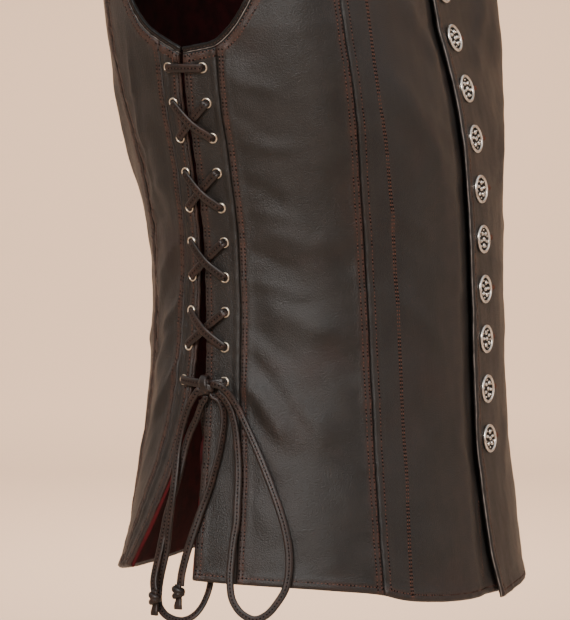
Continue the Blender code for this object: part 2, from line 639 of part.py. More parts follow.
def lay_side(side):
    """All that repeats on each side of the vest: its panels, strips, armhole binding, lace and bow."""
    def on(places):
        return mirrored(places) if side == "left" else places

    half = SEAM_GAP / 2
    arm_front = spaced(FRONT_ARMHOLE, ROWS_ARM)
    arm_back = spaced(BACK_ARMHOLE, ROWS_ARM)
    strip_front = seam(FRONT_STRIP_SEAM, ROWS_LOW)
    strip_back = seam(BACK_STRIP_SEAM, ROWS_LOW)
    princess_front = full_seam(FRONT_PRINCESS)
    princess_back = full_seam(BACK_PRINCESS)
    slit_front = seam(SLIT_FRONT, ROWS_LOW)
    slit_back = seam(SLIT_BACK, ROWS_LOW)
    shoulder = line_between(arm_front[-1], princess_front[-1], SIDE_COLUMNS)

    front_outer = np.concatenate([shifted(strip_front, -half), arm_front[1:]])
    front_inner = shifted(princess_front, half)
    shoulder_front = shoulder.copy()
    shoulder_front[:, 0] = front_inner[-1, 0] = front_outer[-1, 0] = 90.0 - SHOULDER_HALF_GAP
    shoulder_front[-1, 1] = front_inner[-1, 1] = princess_front[-1, 1] - SEAM_GAP
    bottom = hem_between(front_outer[0], front_inner[0], SIDE_COLUMNS)
    patch = coons(front_outer, front_inner, bottom, shoulder_front)
    shell(f"leather_front_side_{side}", on(patch), 0, -LEATHER, LEATHER_COLOUR, 0.5)

    back_outer = np.concatenate([shifted(strip_back, half), arm_back[1:]])
    back_inner = shifted(princess_back, -half)
    shoulder_back = shoulder.copy()
    shoulder_back[:, 0] = back_inner[-1, 0] = back_outer[-1, 0] = 90.0 + SHOULDER_HALF_GAP
    shoulder_back[-1, 1] = back_inner[-1, 1] = princess_back[-1, 1] - SEAM_GAP
    bottom = hem_between(back_outer[0], back_inner[0], SIDE_COLUMNS)
    patch = coons(back_outer, back_inner, bottom, shoulder_back)
    shell(f"leather_back_side_{side}", on(patch), 0, -LEATHER, LEATHER_COLOUR, 0.5)

    strips = {}
    for name, edge, inner, eyelets in (
        ("front", slit_front, shifted(strip_front, half), FRONT_EYELETS),
        ("back", slit_back, shifted(strip_back, -half), BACK_EYELETS),
    ):
        top = line_between(edge[-1], inner[-1], STRIP_COLUMNS)
        patch = coons(edge, inner, hem_between(edge[0], inner[0], STRIP_COLUMNS), top)
        strip = shell(f"lacing_strip_{name}_{side}", on(patch), 0, -LEATHER, LEATHER_COLOUR, 0.5)
        at = on(eyelet_places(eyelets))
        collars = pegs(f"collars_{name}_{side}", at, EYELET_RADIUS, EYELET_ROOT, EYELET_RISE, EYELET_SIDES)
        holes = pegs(f"holes_{name}_{side}", at, EYELET_HOLE_RADIUS, *EYELET_HOLE_REACH, EYELET_SIDES)
        combine(strip, collars, "UNION")
        combine(strip, holes, "DIFFERENCE")
        strips[name] = at

    arm_line = np.concatenate([
        line_between(slit_front[-1], strip_front[-1], STRIP_COLUMNS)[:-1], arm_front, arm_back[::-1][1:],
        line_between(strip_back[-1], slit_back[-1], STRIP_COLUMNS)[1:],
    ])
    tube(f"binding_armhole_{side}", binding_points(on(arm_line), -1 if side == "right" else 1),
         BINDING_RADIUS, EDGE_COLOUR, resolution=1)

    lay_lace(side, strips["front"], strips["back"])


def binding_points(line, hand, lift=0.0):
    """Points of a bound edge, just beyond a line of places along that edge."""
    edge = place(line[:, 0], line[:, 1], BINDING_SINK + lift)
    run = np.gradient(edge, axis=0)
    run /= np.linalg.norm(run, axis=1, keepdims=True)
    normal = outward(line[:, 0], line[:, 1])
    return edge + hand * np.cross(run, normal) * (BINDING_RADIUS + 2 * SEAM_GAP)


def lay_lace(side, front, back):
    """The laced length with its bow knot, then the bow's loops, free ends and end knots."""
    bow = np.array(side_rows([BOW_KNOT], side)[0])
    centre = place(*bow)
    points = place(*np.array(lacing_rows(front, back, bow[:2])).T)
    starts = [centre + BOW_KNOT_RADII[0] / 2 * (end - centre) / np.linalg.norm(end - centre)
              for end in (points[0], points[-1])]
    points = np.concatenate([[starts[0]], points, [starts[1]]])
    held = as_mesh(tube(f"side_lace_{side}", points, LACE_RADIUS, LACE_COLOUR, resolution=1))
    bow_knot = knot(f"bow_knot_{side}", centre, BOW_KNOT_RADII)
    wrap = cutter(f"bow_wrap_{side}", bow_knot.data)
    wrap.location = centre
    bpy.data.objects.remove(bow_knot)
    combine(held, wrap, "UNION")
    for name, rows in (("front_loop", FRONT_LOOP), ("front_end", FRONT_END), ("back_loop", BACK_LOOP),
                       ("back_end", BACK_END)):
        tube(f"lace_{name}_{side}", routed(side_rows(rows, side), centre), FREE_LACE_RADIUS, LACE_COLOUR)
    for name, row in (("front", FRONT_END_KNOT), ("back", BACK_END_KNOT)):
        end_knot(f"end_knot_{name}_{side}", place(*side_rows([row], side)[0]))


def front_panel(side):
    """A buttoned front, from the princess seam to its lapped edge and up the neckline."""
    edge_rows = UNDERLAP_EDGE if side == "right" else LAP_EDGE
    drop = 0.0 if side == "right" else LAP_DROP
    princess = full_seam(FRONT_PRINCESS)
    neckline = spaced(NECKLINE, len(princess) - 1 - ROWS_LAP)
    levels = steps(float(hem(0.0)) - drop, neckline[0, 1], ROWS_LAP)
    edge = np.stack([angle_at_x(smooth(levels, edge_rows), levels), levels], -1)
    edge[-1] = neckline[0]
    outer = shifted(princess, -SEAM_GAP / 2)
    inner = np.concatenate([edge, neckline[1:]])
    shoulder = line_between(outer[-1], inner[-1], FRONT_COLUMNS)
    shoulder[:, 0] = outer[-1, 0] = inner[-1, 0] = 90.0 - SHOULDER_HALF_GAP
    patch = coons(outer, inner, hem_between(outer[0], inner[0], FRONT_COLUMNS), shoulder)
    if side == "right":
        lift = underlap_dip(patch[..., 0], patch[..., 1])
        return shell("leather_front_centre_right", patch, 0, -LEATHER, LEATHER_COLOUR, 0.5, lift)
    return shell("leather_front_centre_left", mirrored(patch), 0, -LEATHER, LEATHER_COLOUR, 0.5)


def back_panel():
    """The centre back, between the two back princess seams, over the shoulders to the neck."""
    princess = shifted(full_seam(BACK_PRINCESS), SEAM_GAP / 2)
    princess[-1, 0] = 90.0 + SHOULDER_HALF_GAP
    shoulder = line_between(princess[-1], (90.0 + SHOULDER_HALF_GAP, NECK_LEVEL), SHOULDER_ROWS)
    right = np.concatenate([princess, shoulder[1:]])
    left = mirrored(right)
    ring = line_between(right[-1], left[-1], BACK_COLUMNS)
    patch = coons(right, left, hem_between(right[0], left[0], BACK_COLUMNS), ring)
    shell("leather_back_centre", patch, 0, -LEATHER, LEATHER_COLOUR, 0.5)


def lining_edge(rows, armhole):
    """The lining's side edge: beside the strip and slit, then round the armhole to the shoulder."""
    low = np.stack([smooth(steps(rows[0][0], rows[-1][0], LINING_ROWS_LOW), rows),
                    steps(rows[0][0], rows[-1][0], LINING_ROWS_LOW)], -1)
    centre = np.array(ARMHOLE_CENTRE)
    round_arm = centre + (spaced(armhole, LINING_ROWS_ARM) - centre) * LINING_ARMHOLE_GROWTH
    round_arm[-1] = armhole[-1][0], armhole[-1][1] + LINING_INSET
    return np.concatenate([low, round_arm[1:]])


def lining(name, patch):
    """A lining piece without the leather's creases, closer at the hem and deeper over the shoulders."""
    angle, level = patch[..., 0], patch[..., 1]
    from_slit = np.abs(np.abs(angle - 180) - LINING_SLIT_FROM_BACK)
    rise = LINING_HEM_RISE * (1 - ramp(level - hem(angle), *LINING_HEM)) * ramp(from_slit, *LINING_SLIT)
    lift = rise - crease_height(angle, level) - LINING_YOKE_DROP * ramp(level, *LINING_YOKE)
    shell(name, patch, LINING_OUTSIDE, LINING_INSIDE, LINING_COLOUR, 0.8, lift)


def linings():
    """The lining, in a back piece and two front pieces, close inside the leather."""
    front = lining_edge(LINING_FRONT_EDGE, FRONT_ARMHOLE)
    front[-1, 0] -= LINING_SHOULDER_GAP
    neck = spaced([(a, level - LINING_INSET) for a, level in LINING_NECK], LINING_NECK_ROWS)
    levels = steps(LINING_FRONT_FOOT, neck[0, 1], len(front) - 1 - LINING_NECK_ROWS)
    inner = np.concatenate([np.stack([angle_at_x(LINING_FRONT_X, levels), levels], -1)[:-1], neck])
    inner[-1, 0] = front[-1, 0]
    bottom = line_between(front[0], inner[0], LINING_FRONT_COLUMNS)
    bottom[:, 1] = hem(bottom[:, 0]) + LINING_INSET
    bottom[0], bottom[-1] = front[0], inner[0]
    patch = coons(front, inner, bottom, line_between(front[-1], inner[-1], LINING_FRONT_COLUMNS))
    lining("lining_front_right", patch)
    lining("lining_front_left", mirrored(patch))

    right = lining_edge(LINING_BACK_EDGE, BACK_ARMHOLE)
    right[-1, 0] += LINING_SHOULDER_GAP
    shoulder = line_between(right[-1], (right[-1, 0], NECK_LEVEL - LINING_INSET), SHOULDER_ROWS)
    right = np.concatenate([right, shoulder[1:]])
    left = mirrored(right)
    bottom = line_between(right[0], left[0], LINING_RING_COLUMNS)
    bottom[1:-1, 1] = hem(bottom[1:-1, 0]) + LINING_INSET
    lining("lining_back", coons(right, left, bottom, line_between(right[-1], left[-1], LINING_RING_COLUMNS)))


def neck_binding():
    """The bound neckline, from the right front round the back to the lap's top corner."""
    line = spaced(NECKLINE, ROWS_LOW + ROWS_ARM - ROWS_LAP)
    start = line[line[:, 0] > NECK_BINDING_START]
    ring = line_between((90.0, NECK_LEVEL), (270.0, NECK_LEVEL), BACK_COLUMNS)
    dip = underlap_dip(start[:, 0], start[:, 1])
    beyond = np.concatenate([ring[1:-1], mirrored(line)[::-1]])
    whole = np.concatenate([start, beyond])
    lift = np.concatenate([dip, np.zeros(len(beyond))])
    tube("binding_neck", binding_points(whole, 1, lift), BINDING_RADIUS, EDGE_COLOUR, resolution=1)


def seated(surface, at):
    """A button's placing, moved along its axis until its foot and rim just clear the lap's faces."""
    down = at.to_3x3() @ Vector((0, 0, -1))
    heights = []
    for radius, height in BUTTON_PROFILE[BUTTON_RIM_ROW:]:
        for turn in np.arange(BUTTON_STEPS) * 2 * math.pi / BUTTON_STEPS:
            above = at @ Vector((radius * math.cos(turn), radius * math.sin(turn), BUTTON_FEEL))
            distance = surface.ray_cast(above, down)[3]
            heights.append(BUTTON_FEEL - distance - height)
    return at @ Matrix.Translation((0, 0, max(heights) + SEAM_GAP))


def buttons(lap):
    """Turned metal buttons on the lap, at an even pitch down the centre front."""
    faces = [face.vertices[:] for face in lap.data.polygons]
    surface = BVHTree.FromPolygons([vertex.co for vertex in lap.data.vertices], faces)
    profile = bpy.data.meshes.new("button")
    work = bmesh.new()
    rim = [work.verts.new((radius, 0.0, height)) for radius, height in BUTTON_PROFILE]
    for upper, lower in zip(rim, rim[1:]):
        work.edges.new((upper, lower))
    work.to_mesh(profile)
    work.free()
    for number in range(BUTTON_COUNT):
        level = BUTTON_LOW_LEVEL + BUTTON_PITCH * number
        name = f"button_{number + 1}"
        made = add(name, profile.copy(), SILVER_COLOUR, 0.4, 1.0)
        made.matrix_world = seated(surface, facing(place(0.0, level), outward(0.0, level)))
        turned = made.modifiers.new("turned", "SCREW")
        turned.steps = turned.render_steps = BUTTON_STEPS
        turned.use_merge_vertices = True
        turned.merge_threshold = MERGE
    bpy.data.meshes.remove(profile)


for old in list(bpy.data.objects):
    bpy.data.objects.remove(old)
parts = bpy.data.collections.new(COLLECTION_NAME)
cutters = bpy.data.collections.new("cutters")
bpy.context.scene.collection.children.link(parts)
bpy.context.scene.collection.children.link(cutters)
for vest_side in ("right", "left"):
    lay_side(vest_side)
front_panel("right")
buttons(front_panel("left"))
back_panel()
linings()
neck_binding()
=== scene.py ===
"""A medieval leather vest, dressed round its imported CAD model.

Metres, +Z up. The front faces -Y and the wearer's right side faces -X. Every cloth piece lies on one
body form, where a place is an angle (0 at the centre front, 90 at the wearer's right side, 180 at the
centre back, 270 at the wearer's left side) and a level (the height above the hem up to the chest, and
from there on over the shoulder to the neck).
"""
import math

import bpy
import numpy as np
from mathutils import Matrix, Vector
from mathutils.bvhtree import BVHTree


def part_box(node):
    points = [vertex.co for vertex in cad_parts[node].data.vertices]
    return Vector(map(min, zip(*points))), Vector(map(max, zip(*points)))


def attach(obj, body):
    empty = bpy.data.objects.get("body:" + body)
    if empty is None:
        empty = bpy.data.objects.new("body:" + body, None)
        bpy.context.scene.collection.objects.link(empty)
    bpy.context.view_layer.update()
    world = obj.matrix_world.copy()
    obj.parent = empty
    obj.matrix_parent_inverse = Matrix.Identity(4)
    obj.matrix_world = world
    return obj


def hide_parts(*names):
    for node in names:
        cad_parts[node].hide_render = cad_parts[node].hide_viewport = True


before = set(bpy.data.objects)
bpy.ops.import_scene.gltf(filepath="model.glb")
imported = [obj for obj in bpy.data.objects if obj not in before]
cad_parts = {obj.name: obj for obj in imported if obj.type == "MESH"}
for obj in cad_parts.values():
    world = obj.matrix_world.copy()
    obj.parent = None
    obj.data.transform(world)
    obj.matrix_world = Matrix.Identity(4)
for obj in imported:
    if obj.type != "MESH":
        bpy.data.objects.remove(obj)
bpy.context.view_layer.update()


# The camera stands at the wearer's right, a little to the front, and looks slightly down at the waist.
# Its distance, direction and framing repeat the photograph's.
VIEW_AZIMUTH = math.radians(-70.0)
VIEW_DISTANCE = 2.9
VIEW_HEIGHT = -0.245
FOCAL_PX = 4060.0
LONG_SIDE_PX = 620.0
HORIZON_PX = 258.0
BODY_AXIS_PX = 38.5
SENSOR = 36.0
BODY_AXIS_Y = -0.045


def linked(name, data):
    """A new object in the scene."""
    made = bpy.data.objects.new(name, data)
    bpy.context.scene.collection.objects.link(made)
    return made


view_back = Vector((math.sin(VIEW_AZIMUTH), -math.cos(VIEW_AZIMUTH), 0.0))
view_right = Vector((math.cos(VIEW_AZIMUTH), math.sin(VIEW_AZIMUTH), 0.0))
pitch = math.atan(HORIZON_PX / FOCAL_PX)
view_camera = linked("camera", bpy.data.cameras.new("camera"))
view_camera.location = (view_back * VIEW_DISTANCE - view_right * (BODY_AXIS_PX / FOCAL_PX * VIEW_DISTANCE)
                        + Vector((0.0, BODY_AXIS_Y, VIEW_HEIGHT)))
view_camera.rotation_mode = "QUATERNION"
looks_along = Vector((-view_back.x * math.cos(pitch), -view_back.y * math.cos(pitch), -math.sin(pitch)))
view_camera.rotation_quaternion = looks_along.to_track_quat("-Z", "Y")
view_camera.data.sensor_width = SENSOR
view_camera.data.lens = FOCAL_PX / LONG_SIDE_PX * SENSOR
bpy.context.scene.camera = view_camera


# The leather panels: near-black waxed cowhide, 2 mm thick, cut in three long panels and two lacing strips
# to each side and one panel down the back. Each is turned under at its edges, sewn to the next in a
# groove, and topstitched, and shows its red-brown ground where the stitching makes it rub.
CHEST_LEVEL = 0.384
YOKE_LEVELS = 0.300
NECK_LEVEL = CHEST_LEVEL + YOKE_LEVELS
YOKE_FRONT_POWER = 1.5
YOKE_BACK_POWER = 2.0
YOKE_SIDE_POWER = 3.4
NECK_HALF_WIDTH = 0.072
NECK_HALF_DEPTH = 0.064
NECK_CENTRE_Y = 0.045
NECK_SIDE_HEIGHT = 0.622
NECK_FRONT_DROP = 0.045
NECK_BACK_DROP = 0.012
SHOULDER_REST_HEIGHT = 0.612
LEATHER = 0.002
SEAM_GAP = 0.0003
DEGREE_ARC = math.radians(1) * 0.155
SECTION_COLUMNS = ("level", "half_width", "front_y", "back_y", "widest_y", "front_power", "back_power")
SECTION_ROWS = (
    (-0.030, 0.182, -0.139, 0.133, 0.000, 2.30, 3.0),
    (0.000, 0.178, -0.1345, 0.1265, 0.000, 2.35, 2.9),
    (0.047, 0.170, -0.128, 0.1185, 0.000, 2.45, 2.7),
    (0.095, 0.162, -0.123, 0.1155, 0.000, 2.50, 2.4),
    (0.150, 0.156, -0.121, 0.114, 0.000, 2.50, 2.2),
    (0.200, 0.154, -0.1195, 0.1145, 0.001, 2.55, 2.1),
    (0.240, 0.157, -0.118, 0.1175, 0.003, 2.60, 2.1),
    (0.290, 0.166, -0.1145, 0.127, 0.008, 2.85, 2.1),
    (0.340, 0.177, -0.106, 0.1355, 0.014, 3.30, 2.2),
    (CHEST_LEVEL, 0.184, -0.0935, 0.140, 0.018, 3.70, 2.3),
)

# Seams and edges of the wearer's right side from the hem up, as rows of level and angle
SLIT_FRONT = ((0.008, 100.5), (0.062, 100.9), (0.130, 101.7), (0.190, 102.3), (0.266, 100.4),
              (0.366, 96.7))
SLIT_BACK = ((0.012, 121.5), (0.045, 115.5), (0.080, 110.5), (0.129, 106.6), (0.190, 104.6), (0.266, 101.5),
             (0.366, 97.4))
FRONT_STRIP_SEAM = ((0.005, 90.0), (0.070, 90.5), (0.130, 91.7), (0.208, 91.6), (0.267, 90.7),
                    (0.3705, 88.6))
BACK_STRIP_SEAM = ((0.009, 127.5), (0.045, 121.5), (0.080, 116.5), (0.135, 112.0), (0.193, 110.4),
                   (0.256, 106.6), (0.3745, 102.4))
FRONT_PRINCESS = ((-0.001, 56.3), (0.084, 57.5), (0.172, 58.6), (0.267, 59.4), (0.340, 59.6),
                  (0.385, 60.8), (0.470, 62.0), (0.530, 67.5), (0.580, 79.0), (0.605, 90.0))
BACK_PRINCESS = ((0.002, 149.0), (0.084, 152.0), (0.172, 156.0), (0.238, 161.0), (0.333, 162.0),
                 (0.400, 158.0), (0.470, 145.0), (0.530, 128.0), (0.580, 108.0), (0.605, 90.0))

# The piped seam of the side back, as rows of level and angle from the hem to the armhole
BACK_WELT = ((0.002, 137.0), (0.084, 132.0), (0.180, 128.4), (0.212, 127.4), (0.240, 125.4), (0.267, 124.5),
             (0.300, 123.4), (0.335, 122.8), (0.375, 123.2), (0.410, 123.0), (0.440, 121.2), (0.470, 117.2),
             (0.496, 111.0))

# Edges of the armhole and the neck on the wearer's right side, and the hem, as rows of angle and level
FRONT_ARMHOLE = ((88.6, 0.3705), (86.0, 0.377), (82.5, 0.388), (79.0, 0.402), (75.8, 0.421),
                 (73.6, 0.444), (73.0, 0.468), (74.6, 0.492), (79.5, 0.515), (84.5, 0.527), (90.0, 0.532))
BACK_ARMHOLE = ((102.4, 0.3745), (105.5, 0.381), (109.5, 0.393), (113.0, 0.410), (115.6, 0.431),
                (116.4, 0.453), (115.0, 0.475), (110.5, 0.498), (104.0, 0.516), (97.0, 0.528), (90.0, 0.532))
NECKLINE = ((-9.0, 0.500), (4.0, 0.521), (14.0, 0.547), (23.0, 0.578), (37.0, 0.615), (60.0, 0.657),
            (90.0, NECK_LEVEL))
HEM_ROWS = ((0.0, -0.0122), (12.5, -0.0112), (26.0, -0.0112), (40.0, -0.0091), (51.0, -0.0051),
            (56.3, -0.001), (69.0, 0.0037), (100.5, 0.008), (121.5, 0.012), (135.0, 0.006), (150.0, 0.001),
            (180.0, -0.002))

# The front closure: the wearer's left front laps over the right one, past the centre by these widths
LAP_EDGE = ((-0.017, 0.0070), (0.010, 0.0155), (0.040, 0.0180), (0.090, 0.0200), (0.500, 0.0205))
UNDERLAP_EDGE = ((-0.017, 0.0180), (0.500, 0.0180))
LAP_DROP = 0.0046
UNDERLAP_DIP = 0.0042
DIP_START = 0.050
DIP_FULL = 0.028

# Half the shoulder seam's gap in degrees, and the level where a long seam's even rows end below the
# armhole and its rows up to the shoulder begin
SHOULDER_HALF_GAP = 0.01
PRINCESS_SPLIT_LEVEL = 0.378
PRINCESS_SPLIT_CLEAR = 0.020

# Main creases: rows of angle and level at one end, angle and level at the other, half width and height
FRONT_FOLDS = (
    (43.0, 0.410, 17.0, 0.350, 0.010, 0.0026),
    (54.0, 0.365, 24.0, 0.270, 0.011, 0.0028),
    (87.0, 0.250, 64.0, 0.230, 0.009, 0.0020),
    (88.0, 0.199, 63.0, 0.168, 0.010, 0.0024),
    (90.0, 0.152, 66.0, 0.098, 0.011, 0.0026),
    (84.0, 0.372, 87.0, 0.300, 0.010, 0.0020),
)
BACK_FOLDS = (
    (112.0, 0.244, 128.0, 0.196, 0.009, 0.0022),
    (113.0, 0.200, 126.0, 0.130, 0.009, 0.0024),
    (113.0, 0.162, 126.0, 0.108, 0.009, 0.0022),
    (116.0, 0.330, 111.0, 0.255, 0.010, 0.0022),
    (128.0, 0.360, 146.0, 0.270, 0.012, 0.0024),
)
HIDDEN_BACK_FOLDS = (
    (164.0, 0.215, 186.0, 0.206, 0.010, 0.0020),
    (168.0, 0.180, 196.0, 0.188, 0.010, 0.0018),
)
FOLD_END = 0.30
LEFT_FOLD_SHARE = 0.8

# The same kind of row for the fuller chest of the wearer's left front
CHEST_FULLNESS = ((314.0, 0.335, 300.0, 0.500, 0.038, 0.0078),)

# Finer creases of the same kind, which only the looks have
FINE_FOLD_SHARE = 1.5
FINE_FRONT_FOLDS = (
    (89.0, 0.352, 74.0, 0.338, 0.0035, 0.0006), (88.5, 0.330, 77.0, 0.306, 0.0040, -0.0006),
    (89.5, 0.306, 72.0, 0.300, 0.0035, 0.0007), (90.0, 0.284, 76.0, 0.262, 0.0045, -0.0007),
    (90.5, 0.262, 70.0, 0.250, 0.0040, 0.0007), (90.5, 0.236, 74.0, 0.214, 0.0050, -0.0008),
    (91.0, 0.214, 71.0, 0.199, 0.0040, 0.0008), (91.0, 0.186, 75.0, 0.150, 0.0050, -0.0008),
    (91.0, 0.168, 71.0, 0.098, 0.0050, -0.0015), (92.0, 0.150, 77.0, 0.096, 0.0055, 0.0019),
    (90.0, 0.118, 78.0, 0.070, 0.0045, 0.0007), (88.0, 0.070, 80.0, 0.030, 0.0060, 0.0006),
    (84.0, 0.050, 74.0, 0.012, 0.0060, -0.0006), (72.0, 0.240, 61.0, 0.215, 0.0060, -0.0007),
    (73.0, 0.180, 61.0, 0.140, 0.0065, -0.0008), (70.0, 0.330, 61.5, 0.285, 0.0070, 0.0006),
    (54.0, 0.260, 33.0, 0.235, 0.0065, 0.0007), (52.0, 0.205, 30.0, 0.160, 0.0075, 0.0008),
    (50.0, 0.130, 26.0, 0.070, 0.0080, -0.0007), (40.0, 0.330, 18.0, 0.300, 0.0055, 0.0007),
    (34.0, 0.290, 12.0, 0.262, 0.0050, -0.0006), (36.0, 0.220, 10.0, 0.196, 0.0060, 0.0007),
    (30.0, 0.110, 12.0, 0.060, 0.0080, 0.0006), (52.0, 0.400, 36.0, 0.452, 0.0060, 0.0007),
)
FINE_BACK_FOLDS = (
    (112.0, 0.395, 120.0, 0.255, 0.0028, 0.0011),
    (109.5, 0.240, 123.5, 0.206, 0.0030, 0.0010), (109.5, 0.202, 123.0, 0.168, 0.0030, 0.0010),
    (108.5, 0.166, 123.5, 0.106, 0.0028, 0.0012),
    (112.0, 0.345, 124.0, 0.330, 0.0040, 0.0007), (110.0, 0.310, 126.0, 0.285, 0.0045, -0.0008),
    (110.5, 0.282, 124.0, 0.262, 0.0040, 0.0008), (112.0, 0.262, 130.0, 0.240, 0.0045, -0.0008),
    (113.0, 0.226, 127.0, 0.188, 0.0040, 0.0009), (113.5, 0.188, 128.0, 0.150, 0.0045, -0.0009),
    (115.0, 0.150, 130.0, 0.080, 0.0045, 0.0008), (118.0, 0.120, 134.0, 0.040, 0.0050, 0.0009),
    (124.0, 0.090, 139.0, 0.020, 0.0055, -0.0008), (132.0, 0.110, 146.0, 0.018, 0.0060, 0.0010),
    (126.0, 0.180, 148.0, 0.160, 0.0060, 0.0008), (130.0, 0.230, 152.0, 0.215, 0.0060, -0.0007),
    (160.0, 0.330, 172.0, 0.290, 0.0070, 0.0008), (158.0, 0.250, 176.0, 0.236, 0.0060, -0.0008),
    (166.0, 0.160, 178.0, 0.060, 0.0080, 0.0009), (150.0, 0.470, 166.0, 0.520, 0.0080, 0.0008),
)


def smooth(x, rows, column=1):
    """A smooth curve through the rows' values in one column, read at x in their first column."""
    xs = np.array([row[0] for row in rows])
    ys = np.array([row[column] for row in rows])
    x = np.clip(np.asarray(x, float), xs[0], xs[-1])
    span = np.diff(xs)
    slope = np.diff(ys) / span
    tangent = np.empty(len(xs))
    tangent[0], tangent[-1] = slope[0], slope[-1]
    tangent[1:-1] = (slope[:-1] * span[1:] + slope[1:] * span[:-1]) / (xs[2:] - xs[:-2])
    i = np.clip(np.searchsorted(xs, x, side="right") - 1, 0, len(xs) - 2)
    t = (x - xs[i]) / span[i]
    rise = ys[i] * (2 * t**3 - 3 * t**2 + 1) + ys[i + 1] * (3 * t**2 - 2 * t**3)
    lean = tangent[i] * (t**3 - 2 * t**2 + t) + tangent[i + 1] * (t**3 - t**2)
    return rise + lean * span[i]


def ramp(x, start, end):
    """A soft step from 0 at start to 1 at end."""
    t = np.clip((np.asarray(x, float) - start) / (end - start), 0.0, 1.0)
    return t * t * (3 - 2 * t)


def unit(ways):
    return ways / np.linalg.norm(ways, axis=-1, keepdims=True)


def run_along(line, scale=1.0):
    """How far along a line of points each one lies."""
    return np.concatenate([[0], np.cumsum(np.linalg.norm(np.diff(line, axis=0) * scale, axis=1))])


def read_at(wanted, run, grid):
    """The rows of a grid at the wanted distances along its run."""
    return np.stack([np.interp(wanted, run, grid[:, k]) for k in range(grid.shape[1])], -1)


def through(rows, steps_to_a_row):
    """Close places on a smooth line through rows."""
    rows = np.array(rows, float)
    knots, fine = np.arange(len(rows)), np.linspace(0, len(rows) - 1, steps_to_a_row * len(rows))
    return np.stack([smooth(fine, list(zip(knots, rows[:, k]))) for k in range(rows.shape[1])], -1)


def body(angle, level):
    """The plain body form, as points about the torso's axis with heights above the hem."""
    turn = np.radians(angle)
    torso_level = np.minimum(level, CHEST_LEVEL)
    section = {name: smooth(torso_level, SECTION_ROWS, k) for k, name in enumerate(SECTION_COLUMNS) if k}
    across, along = np.abs(np.sin(turn)), np.cos(turn)
    front = along > 0
    depth = np.where(front, section["widest_y"] - section["front_y"], section["back_y"] - section["widest_y"])
    power = np.where(front, section["front_power"], section["back_power"])
    torso = ((across / section["half_width"]) ** power + (np.abs(along) / depth) ** power) ** (-1 / power)
    rise = np.clip((np.asarray(level) - CHEST_LEVEL) / YOKE_LEVELS, 0, 1) * math.pi / 2
    yoke_power = np.where(front, YOKE_FRONT_POWER, YOKE_BACK_POWER)
    yoke_power = yoke_power + (YOKE_SIDE_POWER - yoke_power) * across**2
    yoke = (np.cos(rise) ** yoke_power + np.sin(rise) ** yoke_power) ** (-1 / yoke_power)
    inward, upward = yoke * np.cos(rise), yoke * np.sin(rise)
    neck = 1 / np.sqrt((across / NECK_HALF_WIDTH) ** 2 + (along / NECK_HALF_DEPTH) ** 2)
    neck_height = NECK_SIDE_HEIGHT - np.where(front, NECK_FRONT_DROP, NECK_BACK_DROP) * along**2
    radius = neck + (torso - neck) * inward
    height = torso_level + (neck_height - CHEST_LEVEL) * upward
    centre_y = section["widest_y"] + (NECK_CENTRE_Y - section["widest_y"]) * upward
    return np.stack([-radius * np.sin(turn), centre_y - radius * along, height], -1)


def slopes(angle, level):
    """How a point of the body form moves for each degree of angle and each metre of level."""
    d_angle, d_level = 0.05, 0.0004
    level = np.minimum(level, NECK_LEVEL - d_level)
    by_angle = (body(angle + d_angle, level) - body(angle - d_angle, level)) / (2 * d_angle)
    by_level = (body(angle, level + d_level) - body(angle, level - d_level)) / (2 * d_level)
    return by_angle, by_level


def outward(angle, level):
    """The body form's unit normals."""
    by_angle, by_level = slopes(angle, level)
    return unit(np.cross(by_level, by_angle))


def folded(angle, level, right_folds, middle_folds=()):
    """How far a list of creases, and the same ones on the left, lift the leather."""
    lift = np.zeros(np.broadcast(angle, level).shape)
    left_folds = tuple((360 - a, s, 360 - b, t, w, LEFT_FOLD_SHARE * h) for a, s, b, t, w, h in right_folds)
    for angle_1, level_1, angle_2, level_2, half_width, height in right_folds + left_folds + middle_folds:
        run = np.array([(angle_2 - angle_1) * DEGREE_ARC, level_2 - level_1])
        length = np.linalg.norm(run)
        x = (np.mod(angle, 360) - angle_1) * DEGREE_ARC
        y = level - level_1
        along = (x * run[0] + y * run[1]) / length
        aside = (x * run[1] - y * run[0]) / length
        ends = ramp(along, 0, FOLD_END * length) * (1 - ramp(along, (1 - FOLD_END) * length, length))
        lift = lift + height * ends * np.exp(-((aside / half_width) ** 2))
    return lift


def crease_height(angle, level):
    """The main creases, which the CAD model has too."""
    return folded(angle, level, FRONT_FOLDS + BACK_FOLDS, HIDDEN_BACK_FOLDS)


def underlap_dip(angle, level):
    """How far the wearer's right front drops to pass under the lap."""
    return -UNDERLAP_DIP * ramp(-body(angle, level)[..., 0], DIP_START, DIP_FULL)


def place(angle, level, above=0.0):
    """Points of the vest at a distance above the leather's outer face, in the vest's own frame."""
    angle, level, above = np.broadcast_arrays(*(np.asarray(v, float) for v in (angle, level, above)))
    lift = above + crease_height(angle, level)
    points = body(angle, level) + outward(angle, level) * lift[..., None]
    return points - np.array([0.0, NECK_CENTRE_Y, SHOULDER_REST_HEIGHT])


def angle_at_x(x, level):
    """The angle at the front where the body form has that x."""
    angle = 0.0
    for _ in range(6):
        slope = body(angle + 0.5, level)[..., 0] - body(angle - 0.5, level)[..., 0]
        angle = angle - (body(angle, level)[..., 0] - x) / slope
    return angle


def hem(angle):
    """The hem's level at an angle."""
    turned = np.mod(angle, 360)
    return smooth(np.where(turned > 180, 360 - turned, turned), HEM_ROWS)


def graded(length, fine, coarse, border, both=False):
    """Fractions along a length, close together near its start, or near both ends, and wider between."""
    reach, at = length / 2 if both else length, [0.0]
    while at[-1] < reach:
        at.append(at[-1] + (fine if at[-1] < border else min(coarse, fine + 0.3 * (at[-1] - border))))
    near = np.array(at) / at[-1]
    return np.concatenate([near / 2, 1 - near[-2::-1] / 2]) if both else near


